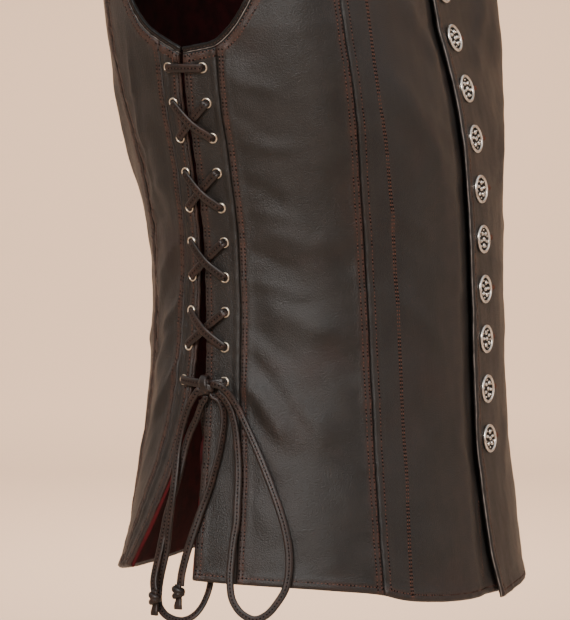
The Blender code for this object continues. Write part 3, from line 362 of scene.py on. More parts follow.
def spaced(rows, fractions):
    """Rows at fractions of the distance along a smooth line through the given rows."""
    line = through(rows, 40)
    run = run_along(line, np.array([DEGREE_ARC, 1.0]))
    return read_at(fractions * run[-1], run, line)


def at_levels(rows, levels):
    """Places at these levels on a smooth line through rows of level and angle."""
    return np.stack([smooth(levels, rows), levels], -1)


def seam(rows, fractions, top=None):
    """Places (angle, level) up a seam given as (level, angle) rows, from the hem to its top."""
    low = rows[0][0]
    for _ in range(3):
        low = float(hem(smooth(low, rows)))
    return at_levels(rows, low + ((rows[-1][0] if top is None else top) - low) * fractions)


def full_seam(rows, low, arm):
    """Places up a princess seam, level with the strip seams below and spread to the shoulder above."""
    below = seam(rows, low, top=PRINCESS_SPLIT_LEVEL)
    from_split = PRINCESS_SPLIT_LEVEL + PRINCESS_SPLIT_CLEAR
    above = [tuple(below[-1])] + [(angle, level) for level, angle in rows if level > from_split]
    return np.concatenate([below, spaced(above, arm)[1:]])


def mirrored(places):
    """The same places on the wearer's left side."""
    return np.concatenate([360.0 - places[..., :1], places[..., 1:]], -1)


def on_side(places, side):
    """Places of the wearer's right side, or the same ones on the left."""
    return mirrored(np.array(places)) if side == "left" else np.array(places)


def shifted(places, distance):
    """Places moved round the body by a distance."""
    radius = np.linalg.norm(place(places[:, 0], places[:, 1])[:, :2], axis=1)
    moved = places.copy()
    moved[:, 0] += np.degrees(distance / np.maximum(radius, NECK_HALF_WIDTH))
    return moved


def beside(places, distance):
    """Places moved square to their own line, over the body form, to its left as seen from outside."""
    by_angle, by_level = slopes(places[:, 0], places[:, 1])
    run = unit(np.gradient(place(places[:, 0], places[:, 1]), axis=0))
    way = np.cross(outward(places[:, 0], places[:, 1]), run) * distance
    aa, ll, al = (by_angle**2).sum(1), (by_level**2).sum(1), (by_angle * by_level).sum(1)
    wa, wl = (by_angle * way).sum(1), (by_level * way).sum(1)
    room = aa * ll - al**2
    return places + np.stack([(wa * ll - wl * al) / room, (wl * aa - wa * al) / room], -1)


def line_between(start, end, fractions):
    t = fractions[:, None]
    return (1 - t) * np.array(start) + t * np.array(end)


def hem_between(start, end, fractions):
    """Places along the hem between two places on it, keeping those two as they are."""
    line = line_between(start, end, fractions)
    miss = (1 - fractions) * (start[1] - hem(start[0])) + fractions * (end[1] - hem(end[0]))
    line[:, 1] = hem(line[:, 0]) + miss
    return line


def coons(left, right, bottom, top, up, across):
    """Places over a four-sided patch. Left and right run upwards, bottom and top from left to right."""
    v, u = up[:, None, None], across[None, :, None]
    sides = (1 - u) * left[:, None] + u * right[:, None]
    ends = (1 - v) * bottom[None] + v * top[None]
    corners = (1 - v) * ((1 - u) * left[0] + u * right[0]) + v * ((1 - u) * left[-1] + u * right[-1])
    return sides + ends - corners


def gap_and_run(points, line):
    """Each point's distance to a line of points, and how far along the line its nearest place lies."""
    flat, way = points.reshape(-1, 3), np.diff(line, axis=0)
    length = np.maximum(np.linalg.norm(way, axis=1), 1e-9)
    start = np.concatenate([[0], np.cumsum(length)[:-1]])
    gap, run = np.empty(len(flat)), np.empty(len(flat))
    for first in range(0, len(flat), 2000):
        part = slice(first, first + 2000)
        to = flat[part, None] - line[None, :-1]
        t = np.clip((to * way).sum(-1) / length**2, 0, 1)
        far = np.linalg.norm(to - t[..., None] * way, axis=-1)
        nearest = far.argmin(1)
        rows = np.arange(len(nearest))
        gap[part], run[part] = far[rows, nearest], start[nearest] + t[rows, nearest] * length[nearest]
    return gap.reshape(points.shape[:-1]), run.reshape(points.shape[:-1])


class Wire:
    """A shader socket's output. Arithmetic with it adds Math nodes."""

    def __init__(self, finish, socket):
        self.finish, self.socket = finish, socket

    def maths(self, operation, first, *others):
        inputs = {k: value for k, value in enumerate((first, *others))}
        return self.finish.node("ShaderNodeMath", {"operation": operation}, inputs)

    def __add__(self, other):
        return self.maths("ADD", self, other)

    def __rsub__(self, other):
        return self.maths("SUBTRACT", other, self)

    def __mul__(self, other):
        return self.maths("MULTIPLY", self, other)

    __radd__, __rmul__ = __add__, __mul__

    def between(self, low, high):
        """0 below low, 1 above high, and a soft step between them."""
        inputs = {"Value": self, "From Min": low, "From Max": high}
        return self.finish.node("ShaderNodeMapRange", {"interpolation_type": "SMOOTHSTEP"}, inputs)


class Finish:
    """A material, with one method that adds any node and links or sets its sockets."""

    def __init__(self, name, roughness, metallic=0.0, specular=0.5):
        self.material = bpy.data.materials.new(name)
        self.material.use_nodes = True
        self.tree = self.material.node_tree
        self.shader = self.tree.nodes["Principled BSDF"]
        self.shader.inputs["Roughness"].default_value = roughness
        self.shader.inputs["Metallic"].default_value = metallic
        self.shader.inputs["Specular IOR Level"].default_value = specular
        self.metres = self.node("ShaderNodeTexCoord", output="Object")

    def join(self, socket, value):
        if isinstance(value, Wire):
            self.tree.links.new(value.socket, socket)
        elif isinstance(value, tuple) and len(value) == 3 and socket.type == "RGBA":
            socket.default_value = (*value, 1.0)
        else:
            socket.default_value = value

    def node(self, kind, settings=None, inputs=None, output=0):
        made = self.tree.nodes.new(kind)
        for name, value in (settings or {}).items():
            setattr(made, name, value)
        for name, value in (inputs or {}).items():
            self.join(made.inputs[name], value)
        return Wire(self, made.outputs[output])

    def feed(self, **inputs):
        for name, value in inputs.items():
            self.join(self.shader.inputs[name.replace("_", " ")], value)
        return self

    def stored(self, name):
        """A value kept on the mesh's points."""
        return self.node("ShaderNodeAttribute", {"attribute_name": name}, output="Fac")

    def noise(self, scale, detail=3.0, rough=0.5):
        inputs = {"Vector": self.metres, "Scale": scale, "Detail": detail, "Roughness": rough}
        return self.node("ShaderNodeTexNoise", None, inputs)

    def cells(self, scale):
        """Distance to the middle of soft-edged cells."""
        inputs = {"Vector": self.metres, "Scale": scale}
        return self.node("ShaderNodeTexVoronoi", {"feature": "SMOOTH_F1"}, inputs, "Distance")

    def mix(self, share, first, second):
        return self.node("ShaderNodeMix", {"data_type": "RGBA"}, {0: share, 6: first, 7: second}, output=2)

    def bump(self, height, distance, strength=1.0):
        inputs = {"Height": height, "Distance": distance, "Strength": strength}
        return self.node("ShaderNodeBump", None, inputs)


LEATHER_DARK = (0.0052, 0.0046, 0.0043)
LEATHER_LIGHT = (0.0112, 0.0098, 0.0091)
LEATHER_RED = (0.0175, 0.0078, 0.0062)
LEATHER_RUBBED = (0.038, 0.0168, 0.0118)
# The near-black that rolled borders are darkened towards: painted shade.
LEATHER_PAINTED_SHADE = (0.0028, 0.0024, 0.0023)
GRAIN_DEPTH = 0.00036


def leather_finish():
    made = Finish("leather_waxed", 0.42, specular=0.46)
    clouds = made.noise(14.0, 4.0, 0.55)
    drift = made.noise(38.0, 5.0, 0.6)
    mottle = made.noise(420.0, 3.0, 0.6)
    rubbed = made.stored("rubbed") * (0.55 + 0.9 * mottle)
    ground = made.mix(drift.between(0.35, 0.70), LEATHER_DARK, LEATHER_LIGHT)
    ground = made.mix(clouds.between(0.52, 0.74) * 0.55, ground, LEATHER_RED)
    # Painted shade: the bands stored along rolled borders darken the ground towards near-black.
    ground = made.mix(made.stored("blackened_and_painted_shade"), ground, LEATHER_PAINTED_SHADE)
    colour = made.mix(rubbed.between(0.02, 1.0), ground, LEATHER_RUBBED)
    pebbles = made.cells(1050.0)
    fine = made.noise(2300.0, 3.0, 0.7)
    wrinkles = made.noise(640.0, 3.0, 0.6)
    height = (1 - pebbles) * 0.70 + fine * 0.70 + wrinkles * 0.22
    rough = 0.26 + 0.18 * drift + 0.12 * mottle
    return made.feed(Base_Color=colour, Roughness=rough, Normal=made.bump(height, GRAIN_DEPTH)).material


leather = leather_finish()

# How a turned, stitched edge shapes the leather beside it
ROLL_DEPTH = 0.0013
ROLL_WIDTH = 0.0016
TURNING_RISE = 0.0006
FURROW_DEPTH = 0.00032
FURROW_WIDTH = 0.0010
BORDER_FURROW_DEPTH = 0.0009
BORDER_FURROW_WIDTH = 0.0007
# How strongly a rolled border's band is darkened: painted shade.
BORDER_PAINTED_SHADE = 0.95


def wave(run, length, start=0.0):
    return np.sin(run * (2 * math.pi / length) + start)


def turned_edge(gap, run, width, rows, roll):
    """The leather's height by a turned edge: rolled off, full over the turning, drawn in by stitches."""
    pucker = 1 + 0.32 * wave(run, 0.0093) + 0.26 * wave(run, 0.0147, 1.1) + 0.20 * wave(run, 0.0231, 2.3)
    height = TURNING_RISE * pucker * (1 - ramp(gap, 0.70 * width, 1.35 * width))
    height = height - roll * (1 - np.clip(gap / ROLL_WIDTH, 0, 1)) ** 2
    for row in rows:
        height = height - FURROW_DEPTH * (0.6 + 0.4 * pucker) * np.exp(-(((gap - row) / FURROW_WIDTH) ** 2))
    return height


def rubbed_band(gap, run, middle, half_width, strength):
    """How much the red-brown ground shows in a band beside an edge."""
    patchy = 0.74 + 0.16 * wave(run, 0.031) + 0.12 * wave(run, 0.0127, 0.7) + 0.10 * wave(run, 0.083, 1.9)
    return strength * patchy * np.exp(-(((gap - middle) / half_width) ** 2))


def unevenness(angle, level):
    """The slight waviness of worn leather, with its finer creases."""
    x, y = angle * DEGREE_ARC, level
    soft = (0.00036 * np.sin(61 * x + 34 * y + 0.4) * np.sin(23 * x - 71 * y + 1.0)
            + 0.00022 * np.sin(143 * x - 52 * y + 2.1) * np.sin(57 * x + 118 * y)
            + 0.00012 * np.sin(257 * x + 171 * y + 0.9) * np.sin(131 * x - 263 * y + 1.7))
    return soft + FINE_FOLD_SHARE * folded(angle, level, FINE_FRONT_FOLDS + FINE_BACK_FOLDS)


def fullness(angle, level):
    """The wearer's left front stands fuller over the chest than the plain body form."""
    return folded(angle, level, (), CHEST_FULLNESS)


def fullness_and_dip(angle, level):
    return fullness(angle, level) + underlap_dip(angle, level)


def grid_mesh(name, outer, inner, finish, values=None):
    """A closed wall between two grids of points, facing outwards, with values kept on its points."""
    rows, columns = outer.shape[:2]
    index = np.arange(rows * columns).reshape(rows, columns)
    quads = np.stack([index[:-1, :-1], index[:-1, 1:], index[1:, 1:], index[1:, :-1]], -1).reshape(-1, 4)
    ring = np.concatenate([index[0, :-1], index[:-1, -1], index[-1, :0:-1], index[:0:-1, 0]])
    after = np.roll(ring, -1)
    below = rows * columns
    rim = np.stack([after, ring, ring + below, after + below], -1)
    faces = np.concatenate([quads, quads[:, ::-1] + below, rim])
    mesh = bpy.data.meshes.new(name)
    mesh.from_pydata(np.concatenate([outer.reshape(-1, 3), inner.reshape(-1, 3)]), [], faces.tolist())
    centre = np.cross(outer[0, 1] - outer[0, 0], outer[1, 0] - outer[0, 0])
    if np.dot(centre, outer[0, 0] - inner[0, 0]) < 0:
        mesh.flip_normals()
    for key, value in (values or {}).items():
        both = np.concatenate([value.ravel(), value.ravel()]).astype(np.float32)
        mesh.attributes.new(key, "FLOAT", "POINT").data.foreach_set("value", both)
    mesh.shade_smooth()
    mesh.materials.append(finish)
    return linked(name, mesh), BVHTree.FromPolygons(outer.reshape(-1, 3).tolist(), quads.tolist())


def dressed(piece, node):
    """A finished piece rides on the vest's one body and stands for its CAD node, which it hides."""
    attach(piece, "root")
    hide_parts(node)


def cut_of(places):
    """A piece's cut, laid flat: its greatest width, its greatest length, and its area."""
    points = place(places[..., 0], places[..., 1])
    across, up = np.diff(points, axis=1), np.diff(points, axis=0)
    width = np.linalg.norm(across, axis=2).sum(1).max()
    length = np.linalg.norm(up, axis=2).sum(0).max()
    area = np.linalg.norm(np.cross(across[:-1], up[:, :-1]), axis=2).sum()
    return {"flat": (round(float(width), 3), round(float(length), 3)), "area": round(float(area), 4)}


surfaces = {}
sewn_rows = []


def sew(panel, line, way, distances, thread="brown"):
    """Rows of stitches at these distances beside a line, to the side that way says."""
    sewn_rows.extend((panel, line, way * distance, thread) for distance in distances)


def leather_panel(name, places, edges, raised=fullness):
    """A panel over a grid of places. An edge is its places, its turning's width, the distances of its
    stitch rows, its rubbed bands as rows of distance, half width and strength, and its roll's depth. An
    edge with a width at the end of these has a furrowed border of that width, darkened towards black
    with painted shade."""
    angle, level = places[..., 0], places[..., 1]
    base = place(angle, level, raised(angle, level))
    normal = outward(angle, level)
    relief, rubbed, blackened_and_painted_shade = unevenness(angle, level), np.zeros(angle.shape), np.zeros(angle.shape)
    for line, width, rows, bands, roll, *border in edges:
        gap, run = gap_and_run(base, place(line[:, 0], line[:, 1], raised(line[:, 0], line[:, 1])))
        relief = relief + turned_edge(gap, run, width, rows, roll)
        for middle, half_width, strength in bands:
            rubbed = np.maximum(rubbed, rubbed_band(gap, run, middle, half_width, strength))
        for reach in border:
            relief = relief - BORDER_FURROW_DEPTH * np.exp(-(((gap - reach) / BORDER_FURROW_WIDTH) ** 2))
            # Painted shade: the band along the border is darkened towards near-black.
            blackened_and_painted_shade = np.maximum(blackened_and_painted_shade, BORDER_PAINTED_SHADE * (1 - ramp(gap, 0.8 * reach, 1.3 * reach)))
    outer = base + normal * relief[..., None]
    inner = base - normal * (LEATHER - 0.3 * np.minimum(relief, 0))[..., None]
    piece, tree = grid_mesh(f"panel_{name}", outer, inner, leather, {
        "rubbed": rubbed, "blackened_and_painted_shade": blackened_and_painted_shade})
    surfaces[name] = tree
    dressed(piece, name if name.startswith("lacing") else f"leather_{name}")
    cut = cut_of(places)
    return piece


PANEL_FINE, PANEL_COARSE, PANEL_BORDER = 0.0012, 0.0036, 0.0085
UP_LOW = graded(CHEST_LEVEL, PANEL_FINE, PANEL_COARSE, PANEL_BORDER)
UP_ARM = graded(0.24, PANEL_COARSE, PANEL_COARSE, 0.24)
ARM_SHARE = 0.39
UP_FULL = np.concatenate([UP_LOW * (1 - ARM_SHARE), (1 - ARM_SHARE) + ARM_SHARE * UP_ARM[1:]])
ACROSS_SIDE = graded(0.085, PANEL_FINE, PANEL_COARSE, PANEL_BORDER, both=True)
ACROSS_BACK_SIDE = graded(0.085, PANEL_FINE, 0.0014, PANEL_BORDER, both=True)
ACROSS_FRONT = graded(0.160, PANEL_FINE, PANEL_COARSE, PANEL_BORDER, both=True)
ACROSS_BACK = graded(0.190, PANEL_FINE, PANEL_COARSE, PANEL_BORDER, both=True)
ACROSS_STRIP = graded(0.024, 0.0010, 0.0024, 0.006, both=True)
UP_STRIP = graded(0.37, 0.0012, 0.0026, 0.006, both=True)

# Distances of the stitch rows from their edges
WELT_ROWS = (0.0018, 0.0050)
PLAIN_ROWS = (0.0050,)
STRIP_SEAM_ROWS = (0.0019, 0.0044)
SLIT_ROWS = (0.0026, 0.0056)
HEM_STITCH_ROWS = (0.0046,)
ARMHOLE_ROWS = (0.0016, 0.0058)
LAP_ROWS = (0.0060,)
TURNING = 0.0075
# Width of the furrowed border along the back slit's edge, darkened with painted shade.
BACK_BORDER = 0.0023
BACK_WELT_ROWS = (0.0030, 0.0060)
# Width of the same kind of border beside the back welt, also darkened with painted shade.
BACK_WELT_GROOVE = 0.0009
BACK_WELT_PLACES = 150

WELT_BANDS = ((0.0014, 0.0020, 1.0), (0.0050, 0.0026, 0.60))
PLAIN_BANDS = ((0.0046, 0.0022, 0.42),)
BACK_WELT_BANDS = ((0.0030, 0.0012, 0.60), (0.0058, 0.0018, 0.45))
STRIP_BANDS = ((0.0033, 0.0024, 0.85),)
SLIT_BANDS = ((0.0004, 0.0012, 0.80), (0.0050, 0.0030, 0.55))
HEM_BANDS = ((0.0012, 0.0022, 0.45), (0.0048, 0.0018, 0.60))
ARMHOLE_BANDS = ((0.0040, 0.0028, 0.95),)
LAP_BANDS = ((0.0058, 0.0026, 1.0), (0.0004, 0.0010, 0.35))


def hem_edge(places):
    """The hem of a panel: the first row of its places."""
    return (places[0], TURNING, HEM_STITCH_ROWS, HEM_BANDS, ROLL_DEPTH)


def back_welt(side):
    """Places up the piped seam of the side back."""
    return on_side(seam(BACK_WELT, np.linspace(0.0, 1.0, BACK_WELT_PLACES)), side)


def side_panels(side):
    """The front side and the back side panel, from the lacing strips to the long seams."""
    half = SEAM_GAP / 2
    strip_front = seam(FRONT_STRIP_SEAM, UP_LOW)
    strip_back = seam(BACK_STRIP_SEAM, UP_LOW)
    arm_front = spaced(FRONT_ARMHOLE, UP_ARM)
    arm_back = spaced(BACK_ARMHOLE, UP_ARM)
    for name, strip, arm, princess_rows, across, hand in (
        ("front_side", strip_front, arm_front, FRONT_PRINCESS, ACROSS_SIDE, 1),
        ("back_side", strip_back, arm_back, BACK_PRINCESS, ACROSS_BACK_SIDE, -1),
    ):
        princess = full_seam(princess_rows, UP_LOW, UP_ARM)
        shoulder = line_between(arm[-1], princess[-1], across)
        outer = np.concatenate([shifted(strip, -hand * half), arm[1:]])
        inner = shifted(princess, hand * half)
        shoulder[:, 0] = inner[-1, 0] = outer[-1, 0] = 90.0 - hand * SHOULDER_HALF_GAP
        shoulder[-1, 1] = inner[-1, 1] = princess[-1, 1] - SEAM_GAP
        bottom = hem_between(outer[0], inner[0], across)
        places = on_side(coons(outer, inner, bottom, shoulder, UP_FULL, across), side)
        strip_edge, arm_edge, seam_edge = places[:len(UP_LOW), 0], places[len(UP_LOW):, 0], places[:, -1]
        welts = (back_welt(side),) if name == "back_side" else ()
        label = f"{name}_{side}"
        leather_panel(label, places, (
            (seam_edge, TURNING, WELT_ROWS, WELT_BANDS, ROLL_DEPTH),
            *((welt, TURNING, BACK_WELT_ROWS, BACK_WELT_BANDS, ROLL_DEPTH, BACK_WELT_GROOVE)
              for welt in welts),
            (strip_edge, TURNING, STRIP_SEAM_ROWS, STRIP_BANDS, ROLL_DEPTH / 2),
            (arm_edge, TURNING, ARMHOLE_ROWS, ARMHOLE_BANDS, ROLL_DEPTH),
            hem_edge(places),
            (places[-1], TURNING, PLAIN_ROWS, PLAIN_BANDS, ROLL_DEPTH),
        ))
        inside = hand if side == "right" else -hand
        sew(label, seam_edge, inside, WELT_ROWS)
        for welt in welts:
            for row in BACK_WELT_ROWS:
                sew(label, welt, row, (1, -1))
        sew(label, strip_edge, -inside, STRIP_SEAM_ROWS[:1], "dark")
        sew(label, strip_edge, -inside, STRIP_SEAM_ROWS[1:])
        sew(label, arm_edge, -inside, ARMHOLE_ROWS)
        sew(label, places[0], inside, HEM_STITCH_ROWS)


def strips(side):
    """The two lacing strips, from the slit's edges to their seams with the side panels."""
    half = SEAM_GAP / 2
    for name, edge_rows, seam_rows, hand in (
        ("front", SLIT_FRONT, FRONT_STRIP_SEAM, 1), ("back", SLIT_BACK, BACK_STRIP_SEAM, -1),
    ):
        edge = seam(edge_rows, UP_STRIP)
        inner = shifted(seam(seam_rows, UP_STRIP), hand * half)
        top = line_between(edge[-1], inner[-1], ACROSS_STRIP)
        bottom = hem_between(edge[0], inner[0], ACROSS_STRIP)
        places = on_side(coons(edge, inner, bottom, top, UP_STRIP, ACROSS_STRIP), side)
        label = f"lacing_strip_{name}_{side}"
        slit_edge, top_edge = places[:, 0], places[-1]
        border = (BACK_BORDER,) if name == "back" else ()
        leather_panel(label, places, (
            (slit_edge, TURNING, SLIT_ROWS, SLIT_BANDS, ROLL_DEPTH, *border),
            (places[:, -1], 0.0040, (), (), ROLL_DEPTH / 2),
            (top_edge, TURNING, ARMHOLE_ROWS, ARMHOLE_BANDS, ROLL_DEPTH),
            hem_edge(places),
        ))
        inside = hand if side == "right" else -hand
        sew(label, slit_edge, -inside, SLIT_ROWS[:1], "dark")
        sew(label, slit_edge, -inside, SLIT_ROWS[1:])
        sew(label, top_edge, -inside, ARMHOLE_ROWS)
        sew(label, places[0], inside, HEM_STITCH_ROWS)


# The double line of stitches down each front, which holds its facing, as rows of level and angle, and
# the ends of one short row low on the wearer's right front, as places
FLY_STITCH_LINE = ((0.000, 48.7), (0.080, 48.8), (0.130, 49.4), (0.180, 49.9), (0.223, 50.7),
                   (0.267, 51.4), (0.300, 52.0), (0.350, 53.6), (0.400, 54.0), (0.470, 54.6),
                   (0.530, 58.0), (0.585, 68.0))
FLY_TOP = 0.585
FACING_ROW_ENDS = ((9.3, 0.055), (13.4, -0.004))
FLY_LINE_HALF = 0.0008
FLY_BANDS = ((0.0, 0.0017, 0.70),)

# The share of a front panel's rows that lies beside its lap, below the neckline's rows, and the share of
# the centre back's rows that lies beside its long seams, below the rows over the shoulder
LAP_SHARE = 0.70
BACK_SEAM_SHARE = 0.86
SHOULDER_ROWS = 22


def front_panel(side):
    """A buttoned front, from the princess seam to its lapped edge and up the neckline."""
    edge_rows = UNDERLAP_EDGE if side == "right" else LAP_EDGE
    drop = 0.0 if side == "right" else LAP_DROP
    princess = full_seam(FRONT_PRINCESS, UP_LOW, UP_ARM)
    to_neck = int(len(princess) * LAP_SHARE)
    neckline = spaced(NECKLINE, np.linspace(0, 1, len(princess) - to_neck + 1))
    lowest = float(hem(0.0)) - drop
    levels = lowest + (neckline[0, 1] - float(hem(0.0)) + drop) * UP_FULL[:to_neck] / UP_FULL[to_neck - 1]
    edge = np.stack([angle_at_x(smooth(levels, edge_rows), levels), levels], -1)
    edge[-1] = neckline[0]
    outer = shifted(princess, -SEAM_GAP / 2)
    inner = np.concatenate([edge, neckline[1:]])
    shoulder = line_between(outer[-1], inner[-1], ACROSS_FRONT)
    shoulder[:, 0] = outer[-1, 0] = inner[-1, 0] = 90.0 - SHOULDER_HALF_GAP
    bottom = hem_between(outer[0], inner[0], ACROSS_FRONT)
    places = on_side(coons(outer, inner, bottom, shoulder, UP_FULL, ACROSS_FRONT), side)
    name = f"front_centre_{side}"
    lap, neck = places[:to_neck, -1], places[to_neck - 1:, -1]
    fly = at_levels(FLY_STITCH_LINE, np.linspace(0, FLY_TOP, 160))
    fly[0, 1] = hem(fly[0, 0])
    fly = on_side(fly, side)
    panel = leather_panel(name, places, (
        (places[:, 0], TURNING, PLAIN_ROWS, PLAIN_BANDS, ROLL_DEPTH),
        (fly, 0.0001, (FLY_LINE_HALF,), FLY_BANDS, 0.0),
        (lap, TURNING, LAP_ROWS, LAP_BANDS, ROLL_DEPTH),
        (neck, TURNING, ARMHOLE_ROWS, ARMHOLE_BANDS, ROLL_DEPTH),
        hem_edge(places),
    ), fullness_and_dip if side == "right" else fullness)
    inside = 1 if side == "right" else -1
    sew(name, places[:, 0], -inside, PLAIN_ROWS)
    sew(name, fly, FLY_LINE_HALF, (1, -1), "orange")
    sew(name, lap, inside, LAP_ROWS, "orange")
    sew(name, neck, inside, ARMHOLE_ROWS)
    sew(name, places[0], inside, HEM_STITCH_ROWS)
    return np.array([panel.data.vertices[(row + 1) * places.shape[1] - 1].co for row in range(to_neck)])


def back_panel():
    """The centre back, between the two back princess seams, over the shoulders to the neck."""
    princess = shifted(full_seam(BACK_PRINCESS, UP_LOW, UP_ARM), SEAM_GAP / 2)
    princess[-1, 0] = 90.0 + SHOULDER_HALF_GAP
    up_shoulder = np.linspace(0, 1, SHOULDER_ROWS)
    shoulder = line_between(princess[-1], (90.0 + SHOULDER_HALF_GAP, NECK_LEVEL), up_shoulder)
    right = np.concatenate([princess, shoulder[1:]])
    left = mirrored(right)
    up = np.concatenate([UP_FULL * BACK_SEAM_SHARE,
                         BACK_SEAM_SHARE + (1 - BACK_SEAM_SHARE) * up_shoulder[1:]])
    ring = line_between(right[-1], left[-1], ACROSS_BACK)
    bottom = hem_between(right[0], left[0], ACROSS_BACK)
    places = coons(right, left, bottom, ring, up, ACROSS_BACK)
    seam_rows = len(UP_FULL)
    leather_panel("back_centre", places, (
        *((part[:, end], TURNING, PLAIN_ROWS, PLAIN_BANDS, ROLL_DEPTH)
          for part in (places[:seam_rows], places[seam_rows:]) for end in (0, -1)),
        (places[-1], TURNING, ARMHOLE_ROWS, ARMHOLE_BANDS, ROLL_DEPTH),
        hem_edge(places),
    ))
    for edge, hand in ((places[:, 0], 1), (places[:, -1], -1)):
        sew("back_centre", edge, hand, PLAIN_ROWS)
    sew("back_centre", places[-1], 1, ARMHOLE_ROWS)
    sew("back_centre", places[0], -1, HEM_STITCH_ROWS)


for vest_side in ("right", "left"):
    side_panels(vest_side)
    strips(vest_side)
    lap_edge_points = front_panel(vest_side)
back_panel()
sew("front_centre_right", np.linspace(*FACING_ROW_ENDS, 60), 0.0, (1,), "orange")


# The stitching: waxed linen thread, red-brown where it is rubbed and nearly black beside the lacing. Each
# stitch lies in its furrow and dives into a small hole at either end; each hole is a near-black lens laid
# on the leather, painted shade for the dark inside of the hole.
STITCH_PITCH = 0.0026
STITCH_HALF_LENGTH = 0.00098
STITCH_HALF_WIDTH = 0.00038
STITCH_RISE = 0.00036
STITCH_SLANT = math.radians(9)
HOLE_RADIUS = 0.00068
ROW_END_CLEAR = 0.0016
SEWING_RAY = (0.012, 0.025)
THREAD_COLOURS = {
    "brown": (0.140, 0.056, 0.038), "orange": (0.175, 0.066, 0.038), "dark": (0.075, 0.038, 0.030),
}


def thread_finish(name, colour):
    """Waxed thread, darker in random patches: painted shade, standing for the shade between its twists."""
    made = Finish(f"thread_{name}", 0.62, specular=0.3)
    # Painted shade: the thread's colour at less than half its brightness.
    shade = tuple(0.45 * part for part in colour)
    lustre = made.noise(700.0, 3.0, 0.6).between(0.35, 0.65)
    twist = made.noise(3200.0, 2.0, 0.5)
    return made.feed(Base_Color=made.mix(lustre, shade, colour), Normal=made.bump(twist, 0.0001)).material


threads = {name: thread_finish(name, colour) for name, colour in THREAD_COLOURS.items()}
# The holes' near-black finish is painted shade.
hole_painted_shade = Finish("stitch_hole", 0.9, specular=0.1).feed(Base_Color=(0.004, 0.003, 0.003)).material


def round_turns(count):
    """Even angles once round a circle."""
    return np.arange(count) * 2 * math.pi / count


def ring_faces(rings, around, closed=False, capped=True):
    """Faces of a tube of rings with so many points around, its ends capped or joined up."""
    index = np.arange(rings * around).reshape(rings, around)
    after = np.roll(index, -1, axis=1)
    lower, upper = (index, np.roll(index, -1, axis=0)) if closed else (index[:-1], index[1:])
    lower_after, upper_after = (after, np.roll(after, -1, axis=0)) if closed else (after[:-1], after[1:])
    faces = np.stack([lower, lower_after, upper_after, upper], -1).reshape(-1, 4).tolist()
    if capped and not closed:
        faces += [index[0, ::-1].tolist(), index[-1].tolist()]
    return faces


def hit_on(surface, point, normal, above, reach):
    """Where a ray from above a point meets a panel's outer face within its reach, or nothing."""
    return surfaces[surface].ray_cast(Vector(point + above * normal), Vector(-normal), reach)[0]


def seated_row(surface, line, distance, pitch):
    """Even places along a row beside a line, on the surface there: points, ways along and normals."""
    row = beside(line, distance)
    points, normals = place(row[:, 0], row[:, 1]), outward(row[:, 0], row[:, 1])
    run = run_along(points)
    between = run[-1] - 2 * ROW_END_CLEAR
    count = max(2, int(between / pitch))
    wanted = ROW_END_CLEAR + (np.arange(count) + 0.5) * between / count
    at, up = read_at(wanted, run, points), unit(read_at(wanted, run, normals))
    along = read_at(wanted, run, np.gradient(points, run, axis=0))
    found = [hit_on(surface, point, normal, *SEWING_RAY) for point, normal in zip(at, up)]
    kept = np.array([hit is not None for hit in found])
    at = np.array([hit[:] for hit in found if hit is not None]).reshape(-1, 3)
    along, up = along[kept], up[kept]
    along -= up * (along * up).sum(1, keepdims=True)
    along /= np.maximum(np.linalg.norm(along, axis=1, keepdims=True), 1e-9)
    return at, along, up


stitch_shape = np.array([(x * STITCH_HALF_LENGTH, y * STITCH_HALF_WIDTH, z * STITCH_RISE) for x, y, z in (
    (-1, 0.5, -0.6), (-1, 0, -0.2), (-1, -0.5, -0.6), (-1, 0, -1.0),
    (0, 1.0, 0.2), (0, 0, 1.0), (0, -1.0, 0.2), (0, 0, -0.8),
    (1, 0.5, -0.6), (1, 0, -0.2), (1, -0.5, -0.6), (1, 0, -1.0))])
hole_shape = np.array([(STITCH_PITCH / 2, 0, 0.00006), (STITCH_PITCH / 2, 0, -0.0003)]
                      + [(STITCH_PITCH / 2 + HOLE_RADIUS * math.cos(t), HOLE_RADIUS * math.sin(t), 0.00003)
                         for t in round_turns(5)])
hole_faces = [f for k in range(5) for f in ([0, 2 + k, 2 + (k + 1) % 5], [1, 2 + (k + 1) % 5, 2 + k])]


def laid_out(shape, faces, at, along, up, slant=0.0):
    """Copies of a small shape on each of many places."""
    aside = np.cross(up, along)
    turned = shape @ np.array([[math.cos(slant), math.sin(slant), 0],
                               [-math.sin(slant), math.cos(slant), 0], [0, 0, 1]])
    points = (at[:, None] + turned[None, :, :1] * along[:, None] + turned[None, :, 1:2] * aside[:, None]
              + turned[None, :, 2:] * up[:, None]).reshape(-1, 3)
    return points, [[v + k * len(shape) for v in face] for k in range(len(at)) for face in faces]


def joined(name, shapes):
    """One mesh object from several shapes, each its points, its faces and its material."""
    points, faces, slots, finishes = [], [], [], []
    for more, their_faces, finish in shapes:
        start = sum(map(len, points))
        if finish not in finishes:
            finishes.append(finish)
        points.append(np.asarray(more).reshape(-1, 3))
        faces += [[v + start for v in face] for face in their_faces]
        slots += [finishes.index(finish)] * len(their_faces)
    mesh = bpy.data.meshes.new(name)
    mesh.from_pydata(np.concatenate(points), [], faces)
    for finish in finishes:
        mesh.materials.append(finish)
    mesh.polygons.foreach_set("material_index", slots)
    mesh.shade_smooth()
    made = linked(name, mesh)
    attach(made, "root")
    return made


def stitches(thread, at, along, up):
    return (*laid_out(stitch_shape, ring_faces(3, 4), at, along, up, STITCH_SLANT), threads[thread])


def stitch_holes(at, along, up):
    return (*laid_out(hole_shape, hole_faces, at, along, up), hole_painted_shade)


